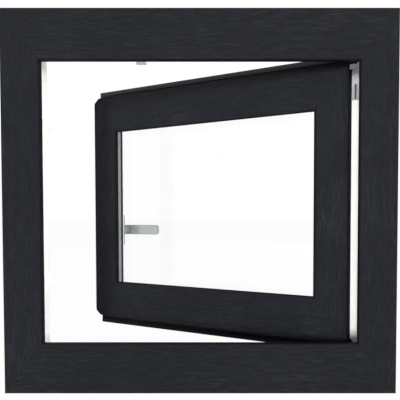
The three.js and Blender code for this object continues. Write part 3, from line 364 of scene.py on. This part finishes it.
# A brighter copy of the leaf's zinc for its rib and rivets: painted highlight where they catch the light.
LEAF_PAINTED_HIGHLIGHT = leaf_metal_painted_light("zinc_painted_highlight", srgb(206, 207, 209), srgb(252, 252, 252))
SPACER = spacer_metal("spacer_aluminium")
GLASS = clear_glass("clear_glass")
BLACK_PLASTIC = plastic("black_plastic", srgb(24, 24, 25), srgb(34, 34, 36))
PAD_GREY = plastic("grey_plastic", srgb(74, 75, 76), srgb(88, 89, 90))


# ------------------------------------------------------------------ finishing the CAD nodes
LIP_DEPTH = 8.6 * MM        # how deep the film wraps the frame's outdoor edges
SASH_FILM_DEPTH = 34.4 * MM  # and the sash's, both from the frame's outdoor face
MITRE_GAP = 0.15 * MM       # half the open seam between two mitred bars
FLANGE_BACK = 3.0 * MM      # how far the film stops short of the flange on a bevelled corner
FACES_OUT = -0.94           # a normal's Y below this looks outdoors


def soften(obj, width, segments=2, angle=20):
    """Rounds a CAD node's sharp edges with modifiers, which leave its mesh alone."""
    if "custom_normal" in obj.data.attributes:
        obj.data.attributes.remove(obj.data.attributes["custom_normal"])
    weld = obj.modifiers.new("weld", "WELD")
    weld.merge_threshold = 0.002 * MM
    flat = obj.modifiers.new("flat", "DECIMATE")
    flat.decimate_type = "DISSOLVE"
    flat.angle_limit = math.radians(0.5)
    flat.delimit = {"MATERIAL"}
    bevel = obj.modifiers.new("bevel", "BEVEL")
    bevel.width = width
    bevel.segments = segments
    bevel.limit_method = "ANGLE"
    bevel.angle_limit = math.radians(angle)
    bevel.harden_normals = True
    for polygon in obj.data.polygons:
        polygon.use_smooth = True


def give(node, *materials, bevel=0.25 * MM):
    obj = NODES[node]
    obj.data.materials.clear()
    for material in materials:
        obj.data.materials.append(material)
    if bevel:
        soften(obj, bevel)
    return obj


FLANGE_DEPTH = closed_box("sash_gasket")[1].y - OUTDOOR  # the seal's foot lies just inside the flange


def film_index(centre, normal, depth, wrapped_flange):
    """0 white core, 1 film on a face that looks outdoors, 2 darker film round an edge and on the sides,
    painted shade.
    """
    deep = centre.y - OUTDOOR
    corner_bevel = abs(abs(normal.x) - abs(normal.z)) < 0.05 and abs(normal.y) < 0.1
    if corner_bevel and deep < FLANGE_DEPTH - FLANGE_BACK:
        return 2
    if wrapped_flange and normal.y < -0.9 and deep < FLANGE_DEPTH + MM:
        return 2 if deep > depth else 1
    if deep > depth:
        return 0
    return 1 if normal.y < FACES_OUT else 2


def clad(node, group, along, depth, swung):
    """Film on a bar's outdoor faces down to `depth`, white core on the rest."""
    obj = give(node, WHITE, FOIL[group, along], FOIL_EDGE_PAINTED_SHADE, bevel=0.35 * MM)
    turn = CLOSE.to_3x3() if swung else Matrix.Identity(3)
    wrapped = swung and not node.endswith("hinge")
    for polygon in obj.data.polygons:
        centre = CLOSE @ polygon.center if swung else polygon.center
        polygon.material_index = film_index(centre, turn @ polygon.normal, depth, wrapped)
    return obj


for side in ("head", "sill", "stile_hinge", "stile_lock"):
    along = "z" if side.startswith("stile") else "x"
    clad(f"frame_{side}", "frame", along, LIP_DEPTH, False)
    clad(f"sash_{side}", "sash", along, SASH_FILM_DEPTH, True)

for node in NODES:
    if node.startswith(("frame_steel", "sash_steel")):
        give(node, GALVANISED)
    elif node.startswith("bead_"):
        give(node, WHITE, bevel=0.4 * MM)
    elif node.startswith("pane_"):
        give(node, GLASS, bevel=0)
    elif node.startswith("setting_block"):
        give(node, BLACK_PLASTIC)
for node in ("frame_gasket", "centre_seal"):
    give(node, EPDM, bevel=0.2 * MM)
for node in ("glazing_gasket_outer", "glazing_gasket_inner", "edge_seal"):
    give(node, GLAZING_EPDM, bevel=0.2 * MM)
give("sash_gasket", FLANGE_EPDM_PAINTED_LIGHT, bevel=0.2 * MM)
give("spacer_frame", SPACER, bevel=0.3 * MM)
give("handle_rose", SILVER, bevel=1.0 * MM)
for node in ("stay_bearing_pin", "corner_bracket_pin", "tilt_pin", "stay_stud", "drive_rod", "head_rod",
             "cam_lower", "cam_upper", "cam_head", "handle_spindle", "drive_pinion"):
    give(node, STEEL)
for node in ("stay_bearing", "corner_bracket", "corner_arm", "sash_hinge", "lock_face_plate",
             "head_face_plate", "corner_drive", "gear_case"):
    give(node, ZINC)
for node in ("striker_lower", "striker_upper", "striker_head"):
    give(node, WHITE)
give("stay_arm", LEAF_ZINC_PAINTED_LIGHT)


# ------------------------------------------------------------------ mesh helpers
def new_piece(name, bm, body, slot, *materials, swung=False):
    """A mesh object from `bm`, and which riding body it moves with. `slot` is not used."""
    if swung:
        bmesh.ops.transform(bm, matrix=SWING, verts=bm.verts)
    bmesh.ops.recalc_face_normals(bm, faces=bm.faces)
    mesh = bpy.data.meshes.new(name)
    bm.to_mesh(mesh)
    bm.free()
    for polygon in mesh.polygons:
        polygon.use_smooth = True
    mesh.set_sharp_from_angle(angle=math.radians(40))
    for material in materials:
        mesh.materials.append(material)
    obj = bpy.data.objects.new(name, mesh)
    bpy.context.collection.objects.link(obj)
    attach(obj, body)
    return obj


def lathe(bm, profile, sides=40):
    """Turns a profile of (radius, height) points about Z. Radius 0 closes an end."""
    rings = []
    for radius, height in profile:
        if radius == 0:
            rings.append([bm.verts.new((0, 0, height))])
            continue
        steps = [2 * math.pi * k / sides for k in range(sides)]
        rings.append([bm.verts.new((radius * math.cos(a), radius * math.sin(a), height)) for a in steps])
    for lower, upper in zip(rings, rings[1:]):
        join_rings(bm, lower, upper)


def join_rings(bm, lower, upper):
    """Faces between two rings of points, either of which may be a single point."""
    count = max(len(lower), len(upper))
    for k in range(count):
        corners = [lower[k % len(lower)], lower[(k + 1) % len(lower)],
                   upper[(k + 1) % len(upper)], upper[k % len(upper)]]
        face = [v for i, v in enumerate(corners) if v not in corners[:i]]
        bm.faces.new(face)


def add_part(whole, part):
    """Adds one mesh to another and frees it."""
    scratch = bpy.data.meshes.new("part")
    part.to_mesh(scratch)
    part.free()
    whole.from_mesh(scratch)
    bpy.data.meshes.remove(scratch)


# ------------------------------------------------------------------ welded mitres
FRAME_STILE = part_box("frame_stile_lock")
FRAME_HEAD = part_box("frame_head")
STILE_RATIO = (FRAME_STILE[1].x - FRAME_STILE[0].x) / (FRAME_HEAD[1].z - FRAME_HEAD[0].z)


def weld(group, rail, sx):
    """Fills the open seam at one corner: the rail's cut end, carried over to the stile's."""
    node = f"{group}_{rail}"
    swung = group == "sash"
    sz = 1 if rail == "head" else -1
    outward = Vector((sx, 0, -sz * STILE_RATIO)).normalized()
    turn = CLOSE if swung else Matrix.Identity(4)
    across = Vector((sx * MITRE_GAP, 0, -sz * MITRE_GAP))
    depth = SASH_FILM_DEPTH if swung else LIP_DEPTH
    bm = bmesh.new()
    mesh = NODES[node].data
    near = {}
    for polygon in mesh.polygons:
        if (turn.to_3x3() @ polygon.normal).dot(outward) < 0.999:
            continue
        corners = []
        for index in polygon.vertices:
            point = turn @ mesh.vertices[index].co
            key = tuple(round(c * 1e6) for c in point)
            if key not in near:
                near[key] = bm.verts.new(point)
            corners.append(near[key])
        if len(set(corners)) == len(corners):
            bm.faces.new(corners)
    extruded = bmesh.ops.extrude_face_region(bm, geom=list(bm.faces))
    moved = [item for item in extruded["geom"] if isinstance(item, bmesh.types.BMVert)]
    bmesh.ops.translate(bm, verts=moved, vec=across)
    bmesh.ops.recalc_face_normals(bm, faces=bm.faces)
    for face in bm.faces:
        face.normal_update()
        face.material_index = film_index(face.calc_center_median(), face.normal, depth, swung)
    stile = "hinge" if sx > 0 else "lock"
    body = "sash" if swung else "frame"
    # The seam's film takes the darker edge film, painted shade along the joint.
    finishes = (WHITE, FOIL_EDGE_PAINTED_SHADE, FOIL_EDGE_PAINTED_SHADE)
    new_piece(f"weld_{group}_{rail}_{stile}", bm, body, "foiled_pvc", *finishes, swung=swung)


for group in ("frame", "sash"):
    for rail in ("head", "sill"):
        for sx in (1, -1):
            weld(group, rail, sx)


# ------------------------------------------------------------------ screws and rivets
RECESS = {"half": 0.11, "reach": 0.55, "bottom": -0.16}   # cross recess, over the head's radius
SCREW_DOME = 0.27           # the head's height over its radius
SUNK = 0.1 * MM             # how far a head's rim lies under the face round it
PLATE_SCREW = {"radius": 3.0 * MM, "end": 10 * MM}        # face plates, from each end
LOCK_INNER = 92 * MM        # the lock plate's inner screws, from each end
HEAD_INNER = (110 * MM, 80 * MM)                          # the head plate's, from its lock and hinge ends
DRIVE_RIVET = {"radius": 2.2 * MM, "from_end": (9 * MM, 27 * MM)}
STRIKER_SCREW = {"radius": 2.4 * MM, "sunk": 1.2 * MM, "back": 4.6 * MM}
BRACKET_SCREW = {"radius": 2.5 * MM, "edge": 3.4 * MM, "end": 8 * MM, "plate": 2.7 * MM}
HINGE_SCREW = {"radius": 3.3 * MM, "apart": 5 * MM, "drops": (9 * MM, 26 * MM, 43 * MM)}


def screw_mesh():
    """A domed countersunk screw of head radius 1 that looks along +Z, with a cross recess."""
    bm = bmesh.new()
    lathe(bm, [(0, -0.55), (0.55, -0.55), (0.94, -0.1), (1.0, -0.03), (0.97, 0.04), (0.8, 0.15), (0.5, 0.23),
               (0.25, 0.26), (0, SCREW_DOME)], sides=32)
    bmesh.ops.recalc_face_normals(bm, faces=bm.faces)
    head = scratch_object("screw_head", bm)
    cutter = bmesh.new()
    for half_x, half_y in ((RECESS["half"], RECESS["reach"]), (RECESS["reach"], RECESS["half"])):
        made = bmesh.ops.create_cube(cutter, size=2)["verts"]
        bmesh.ops.scale(cutter, vec=(half_x, half_y, 0.5), verts=made)
        bmesh.ops.translate(cutter, vec=(0, 0, 0.5 + RECESS["bottom"]), verts=made)
    tool = scratch_object("screw_recess", cutter)
    cut = head.modifiers.new("recess", "BOOLEAN")
    cut.object = tool
    cut.operation = "DIFFERENCE"
    cut.solver = "EXACT"
    cut.use_self = True
    done = bpy.data.meshes.new_from_object(head.evaluated_get(bpy.context.evaluated_depsgraph_get()))
    for used in (head, tool):
        bpy.data.objects.remove(used)
    return done


def scratch_object(name, bm):
    mesh = bpy.data.meshes.new(name)
    bm.to_mesh(mesh)
    bm.free()
    obj = bpy.data.objects.new(name, mesh)
    bpy.context.collection.objects.link(obj)
    return obj


SCREW = screw_mesh()
AXES = {"-y": (math.pi / 2, 0, 0), "y": (-math.pi / 2, 0, 0), "-x": (0, -math.pi / 2, 0),
        "x": (0, math.pi / 2, 0), "z": (0, 0, 0)}


def place_along(bm, place, direction, spin=0.0):
    """Turns what looks along +Z to look along `direction`, and moves it to `place`."""
    turn = Matrix.Rotation(spin, 4, "Z")
    angles = AXES[direction]
    for angle, axis in zip(angles, "XYZ"):
        turn = Matrix.Rotation(angle, 4, axis) @ turn
    bmesh.ops.transform(bm, matrix=Matrix.Translation(place) @ turn, verts=bm.verts)


def screws(name, places, radius, direction, body, swung=False, finish=STEEL):
    """One piece of several screws, each turned its own way."""
    whole = bmesh.new()
    for count, place in enumerate(places):
        bm = bmesh.new()
        bm.from_mesh(SCREW)
        bmesh.ops.scale(bm, vec=(radius, radius, radius), verts=bm.verts)
        place_along(bm, place, direction, spin=0.5 + 1.1 * count)
        add_part(whole, bm)
    return new_piece(name, whole, body, "plated_steel", finish, swung=swung)


def rivets(name, places, radius, direction, body, swung=False, finish=STEEL):
    whole = bmesh.new()
    for place in places:
        bm = bmesh.new()
        lathe(bm, [(0, -0.6 * radius), (radius, -0.6 * radius), (radius, 0), (0.85 * radius, 0.22 * radius),
                   (0.5 * radius, 0.36 * radius), (0, 0.42 * radius)], sides=28)
        place_along(bm, place, direction)
        add_part(whole, bm)
    return new_piece(name, whole, body, "plated_steel", finish, swung=swung)


def spread(low, high, count):
    return [low + (high - low) * k / (count - 1) for k in range(count)]


def rose_screw(which):
    low, high = closed_box(f"rose_screw_{which}")
    radius = (high.x - low.x) / 2
    place = Vector(((low.x + high.x) / 2, high.y - SCREW_DOME * radius, (low.z + high.z) / 2))
    piece = screws(f"rose_screw_head_{which}", [place], radius, "y", "sash", swung=True)
    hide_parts(f"rose_screw_{which}")


def lock_plate_screws():
    low, high = closed_box("lock_face_plate")
    middle = (low.y + high.y) / 2
    end = PLATE_SCREW["end"]
    heights = [low.z + end, low.z + LOCK_INNER, high.z - LOCK_INNER, high.z - end]
    places = [(low.x + SUNK, middle, z) for z in heights]
    screws("lock_plate_screws", places, PLATE_SCREW["radius"], "-x", "sash", swung=True)


def head_plate_screws():
    low, high = closed_box("head_face_plate")
    middle = (low.y + high.y) / 2
    end = PLATE_SCREW["end"]
    across = [low.x + end, low.x + HEAD_INNER[0], high.x - HEAD_INNER[1], high.x - end]
    places = [(x, middle, high.z - SUNK) for x in across]
    screws("head_plate_screws", places, PLATE_SCREW["radius"], "z", "sash", swung=True)


def corner_drive_rivets():
    low, high = closed_box("corner_drive")
    middle = (low.y + high.y) / 2
    places = [(high.x - inset, middle, high.z - SUNK) for inset in DRIVE_RIVET["from_end"]]
    rivets("corner_drive_rivets", places, DRIVE_RIVET["radius"], "z", "sash", swung=True)


def striker_screws():
    for side in ("lower", "upper"):
        low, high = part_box(f"striker_{side}")
        place = (low.x + STRIKER_SCREW["sunk"], low.y + STRIKER_SCREW["back"], (low.z + high.z) / 2)
        screws(f"striker_screw_{side}", [place], STRIKER_SCREW["radius"], "x", "frame", finish=WHITE)


def bracket_screws():
    plate_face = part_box("frame_stile_hinge")[1].y + BRACKET_SCREW["plate"]
    for node, count in (("stay_bearing", 2), ("corner_bracket", 3)):
        low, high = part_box(node)
        heights = spread(low.z + BRACKET_SCREW["end"], high.z - BRACKET_SCREW["end"], count)
        places = [(high.x - BRACKET_SCREW["edge"], plate_face, z) for z in heights]
        screws(f"{node}_screws", places, BRACKET_SCREW["radius"], "y", "frame")


def sash_hinge_screws():
    low, high = closed_box("sash_hinge")
    across = (low.x + high.x) / 2
    apart = HINGE_SCREW["apart"]
    top, centre, bottom = HINGE_SCREW["drops"]
    places = [(across + shift, high.y - SUNK, high.z - drop)
              for shift, drop in ((0, top), (-apart, centre), (apart, centre), (0, bottom))]
    screws("sash_hinge_screws", places, HINGE_SCREW["radius"], "y", "sash", swung=True)


def block(name, low, high, body, slot, material, bevel):
    """A box with rounded edges, given closed, that swings with the sash."""
    bm = bmesh.new()
    bmesh.ops.create_cube(bm, size=1)
    bmesh.ops.scale(bm, vec=Vector(high) - Vector(low), verts=bm.verts)
    bmesh.ops.translate(bm, vec=(Vector(high) + Vector(low)) / 2, verts=bm.verts)
    bmesh.ops.bevel(bm, geom=list(bm.edges), offset=bevel, segments=3, affect="EDGES", profile=0.5)
    return new_piece(name, bm, body, slot, material, swung=True)


# The stay's leaf. Its "set" is how far a detail lies from the leaf's edge by the seal.
LEAF_THICK = 2.2 * MM
LEAF_GAP = 0.3 * MM         # between that edge and the seal
RIB = {"set": 8 * MM, "width": 2.6 * MM, "proud": 0.5 * MM, "sunk": 0.3 * MM, "end": 0.6 * MM}
PAD = {"set": 3.6 * MM, "width": 2.5 * MM, "sunk": 0.7 * MM, "low": 1.6 * MM, "high": 22.8 * MM}
PAD_BACK = 0.1 * MM         # how far the pad stays clear of what is behind the leaf
LEAF_RIVET = {"radius": 1.5 * MM, "sets": (1.4 * MM, 9.3 * MM, 4.7 * MM), "drop": 1.9 * MM, "rise": 25.6 * MM}


def leaf_details():
    """The stay's leaf: a raised rib, three rivets and the grey pad seen through its slot."""
    seal = closed_box("centre_seal")[1]
    edge, back = seal.x + LEAF_GAP, seal.y
    face = back - LEAF_THICK
    low, top = (corner.z for corner in closed_box("stay_arm"))
    rib_face = face - RIB["proud"]
    start, pad = edge + RIB["set"], edge + PAD["set"]
    # The rib and rivets take the brighter copy of the leaf's zinc, a painted highlight.
    block("leaf_rib", (start, rib_face, low + RIB["end"]),
          (start + RIB["width"], face + RIB["sunk"], top - RIB["end"]),
          "stay_arm", "zinc_fitting", LEAF_PAINTED_HIGHLIGHT, 0.4 * MM)
    block("leaf_pad", (pad, face + PAD["sunk"], low + PAD["low"]),
          (pad + PAD["width"], back - PAD_BACK, low + PAD["high"]),
          "stay_arm", "black_plastic", PAD_GREY, 0.2 * MM)
    near, on_rib, under = (edge + inset for inset in LEAF_RIVET["sets"])
    upper = top - LEAF_RIVET["drop"]
    places = [(near, face, upper), (on_rib, rib_face + RIB["sunk"], upper),
              (under, face, low + LEAF_RIVET["rise"])]
    rivets("leaf_rivets", places, LEAF_RIVET["radius"], "-y", "stay_arm", swung=True, finish=LEAF_PAINTED_HIGHLIGHT)


for which in ("lower", "upper"):
    rose_screw(which)
lock_plate_screws()
head_plate_screws()
corner_drive_rivets()
striker_screws()
bracket_screws()
sash_hinge_screws()
leaf_details()


# ------------------------------------------------------------------ handle
LEVER_NECK = 6.2 * MM       # radius
LEVER_END = 5.5 * MM        # how far the grip's ends are rounded
LEVER_EDGE = 3.0 * MM
GRIP_LIFT = 0.3 * MM        # the grip's near face over the spindle's end
GRIP_SQUARE = 5.0           # superellipse of the grip's section
END_ROUND = 2.6             # and of its ends
NECK_FLARE = 1.6 * MM       # how much the neck widens under the grip
COLLAR = {"clear": 0.05 * MM, "wide": 1.6 * MM, "tall": 1.6 * MM, "edge": 0.5 * MM}


def rounded_section(half_across, half_up, roundness, count=48):
    """Points of a superellipse: 2 is an ellipse, higher is squarer."""
    points = []
    for k in range(count):
        angle = 2 * math.pi * k / count
        c, s = math.cos(angle), math.sin(angle)
        points.append((half_across * math.copysign(abs(c) ** (2 / roundness), c),
                       half_up * math.copysign(abs(s) ** (2 / roundness), s)))
    return points


def lever():
    """A round neck under a flat grip whose edges and ends are rounded."""
    low, high = closed_box("handle_lever")
    grip_near = closed_box("handle_spindle")[1].y + GRIP_LIFT
    half = Vector(((high.x - low.x) / 2, (high.y - grip_near) / 2, (high.z - low.z) / 2))
    middle = Vector((low.x + half.x, grip_near + half.y, low.z + half.z))
    spindle_x = low.x + half.z
    bm = bmesh.new()
    rings = []
    for share in spread(-1.0, 1.0, 41):
        # Stations crowd towards the ends, where the outline turns round.
        along = math.sin(share * math.pi / 2)
        past = max(0.0, abs(along) * half.x - (half.x - LEVER_END)) / LEVER_END
        drawn_in = 1 - max(1 - past ** END_ROUND, 0.0) ** (1 / END_ROUND)
        shrink = 1 - drawn_in * LEVER_END / half.z
        thin = 1 - drawn_in * LEVER_EDGE / half.y
        rings.append([bm.verts.new(middle + Vector((along * half.x, across, up)))
                      for across, up in rounded_section(half.y * thin, half.z * shrink, GRIP_SQUARE)])
    for lower, upper in zip(rings, rings[1:]):
        join_rings(bm, lower, upper)
    bm.faces.new(rings[0])
    bm.faces.new(rings[-1])
    stem = bmesh.new()
    top = grip_near + LEVER_EDGE - low.y
    wide = LEVER_NECK + NECK_FLARE
    lathe(stem, [(0, 0), (LEVER_NECK, 0), (LEVER_NECK, top - 4 * MM), (LEVER_NECK + 0.5 * MM, top - 2.6 * MM),
                 (wide, top - 1.2 * MM), (wide, top), (0, top)], sides=48)
    place_along(stem, (spindle_x, low.y, middle.z), "y")
    add_part(bm, stem)
    piece = new_piece("lever", bm, "handle", "silver_handle", SILVER, swung=True)
    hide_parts("handle_lever")
    collar(spindle_x, middle.z)


def collar(spindle_x, spindle_z):
    """Ring between the lever's neck and the rose."""
    rose_top = closed_box("handle_rose")[1].y
    bm = bmesh.new()
    inner, outer = LEVER_NECK + COLLAR["clear"], LEVER_NECK + COLLAR["wide"]
    tall, edge = COLLAR["tall"], COLLAR["edge"]
    lathe(bm, [(inner, 0), (outer, 0), (outer, tall - edge), (outer - edge, tall), (inner, tall), (inner, 0)],
          sides=48)
    place_along(bm, (spindle_x, rose_top + COLLAR["clear"], spindle_z), "y")
    new_piece("handle_collar", bm, "handle", "silver_handle", SILVER, swung=True)


lever()

# ------------------------------------------------------------------ floor, light and camera
CAMERA_PLACE = (40.73 * MM, -417.77 * MM + OUTDOOR, 229.97 * MM)
CAMERA_PITCH = math.radians(-1.278)
FOCAL_SHARE = 0.80556                       # focal length over the picture's width
SHIFT = (-0.07848, 0.06444)                 # over that width as well
WORLD_LIGHT = 0.5
FLOOR_SHADE = 0.05                          # how much of its shading and shadow the white floor shows
FLOOR_DROP = 0.2 * MM


def seen_white(tree, shaded, share=1.0):
    """Mixes white in for camera, glossy and transmission rays, but not for light on its way to a surface."""
    path = tree.nodes.new("ShaderNodeLightPath").outputs
    either = path["Is Camera Ray"]
    for name in ("Is Glossy Ray", "Is Transmission Ray"):
        either = node_maths(tree, "MAXIMUM", either, path[name])
    direct = node_maths(tree, "LESS_THAN", path["Diffuse Depth"], 0.5)
    seen = node_maths(tree, "MULTIPLY", either, direct)
    mix = tree.nodes.new("ShaderNodeMixShader")
    tree.links.new(node_maths(tree, "MULTIPLY", seen, share), mix.inputs["Fac"])
    tree.links.new(shaded, mix.inputs[1])
    white = tree.nodes.new("ShaderNodeBackground" if tree.nodes.get("World Output") else "ShaderNodeEmission")
    white.inputs["Color"].default_value = (1, 1, 1, 1)
    white.inputs["Strength"].default_value = 1.0
    tree.links.new(white.outputs[0], mix.inputs[2])
    return mix.outputs["Shader"]


def make_world():
    world = bpy.data.worlds.new("studio")
    bpy.context.scene.world = world
    world.use_nodes = True
    tree = world.node_tree
    light = tree.nodes["Background"]
    light.inputs["Color"].default_value = (1, 1, 1, 1)
    light.inputs["Strength"].default_value = WORLD_LIGHT
    tree.links.new(seen_white(tree, light.outputs[0]), tree.nodes["World Output"].inputs["Surface"])


def make_floor():
    bpy.ops.mesh.primitive_plane_add(size=60, location=(0, 0, -FLOOR_DROP))
    floor = bpy.context.object
    floor.name = "floor"
    shader = Shader("floor")
    shader.set(Base_Color=(0.9, 0.9, 0.9, 1), Roughness=0.9, Specular_IOR_Level=0.0)
    output = shader.tree.nodes["Material Output"]
    shown = seen_white(shader.tree, shader.principled.outputs["BSDF"], share=1 - FLOOR_SHADE)
    shader.link(shown, output.inputs["Surface"])
    floor.data.materials.append(shader.material)


def area_light(name, place, size, power):
    """A lamp that looks at the window's middle."""
    data = bpy.data.lights.new(name, "AREA")
    data.shape = "RECTANGLE"
    data.size, data.size_y = size
    data.energy = power
    lamp = bpy.data.objects.new(name, data)
    lamp.location = place
    middle = Vector((0, 0, HEIGHT / 2))
    lamp.rotation_euler = (middle - Vector(place)).to_track_quat("-Z", "Y").to_euler()
    # The panes would mirror the lamps and wash out what is behind them.
    lamp.visible_camera = False
    lamp.visible_glossy = False
    lamp.visible_transmission = False
    bpy.context.collection.objects.link(lamp)


def make_camera():
    data = bpy.data.cameras.new("camera")
    data.sensor_width = 36
    data.lens = 36 * FOCAL_SHARE
    data.shift_x, data.shift_y = SHIFT
    camera = bpy.data.objects.new("camera", data)
    camera.location = CAMERA_PLACE
    camera.rotation_euler = (math.pi / 2 + CAMERA_PITCH, 0, 0)
    bpy.context.collection.objects.link(camera)
    bpy.context.scene.camera = camera


make_world()
make_floor()
make_camera()
area_light("front_left", (-0.72, -2.3, 0.36), (0.4, 0.66), 53)
area_light("front_middle", (-0.25, -2.4, 0.3), (0.4, 0.66), 16)
area_light("front_right", (1.2, -2.0, 0.36), (0.4, 0.66), 24)
area_light("side_fill", (2.4, -0.6, 0.5), (0.9, 0.9), 46)
area_light("room_side", (0.6, 2.4, 1.8), (1.4, 1.4), 16)
bpy.context.scene.view_settings.view_transform = "Standard"
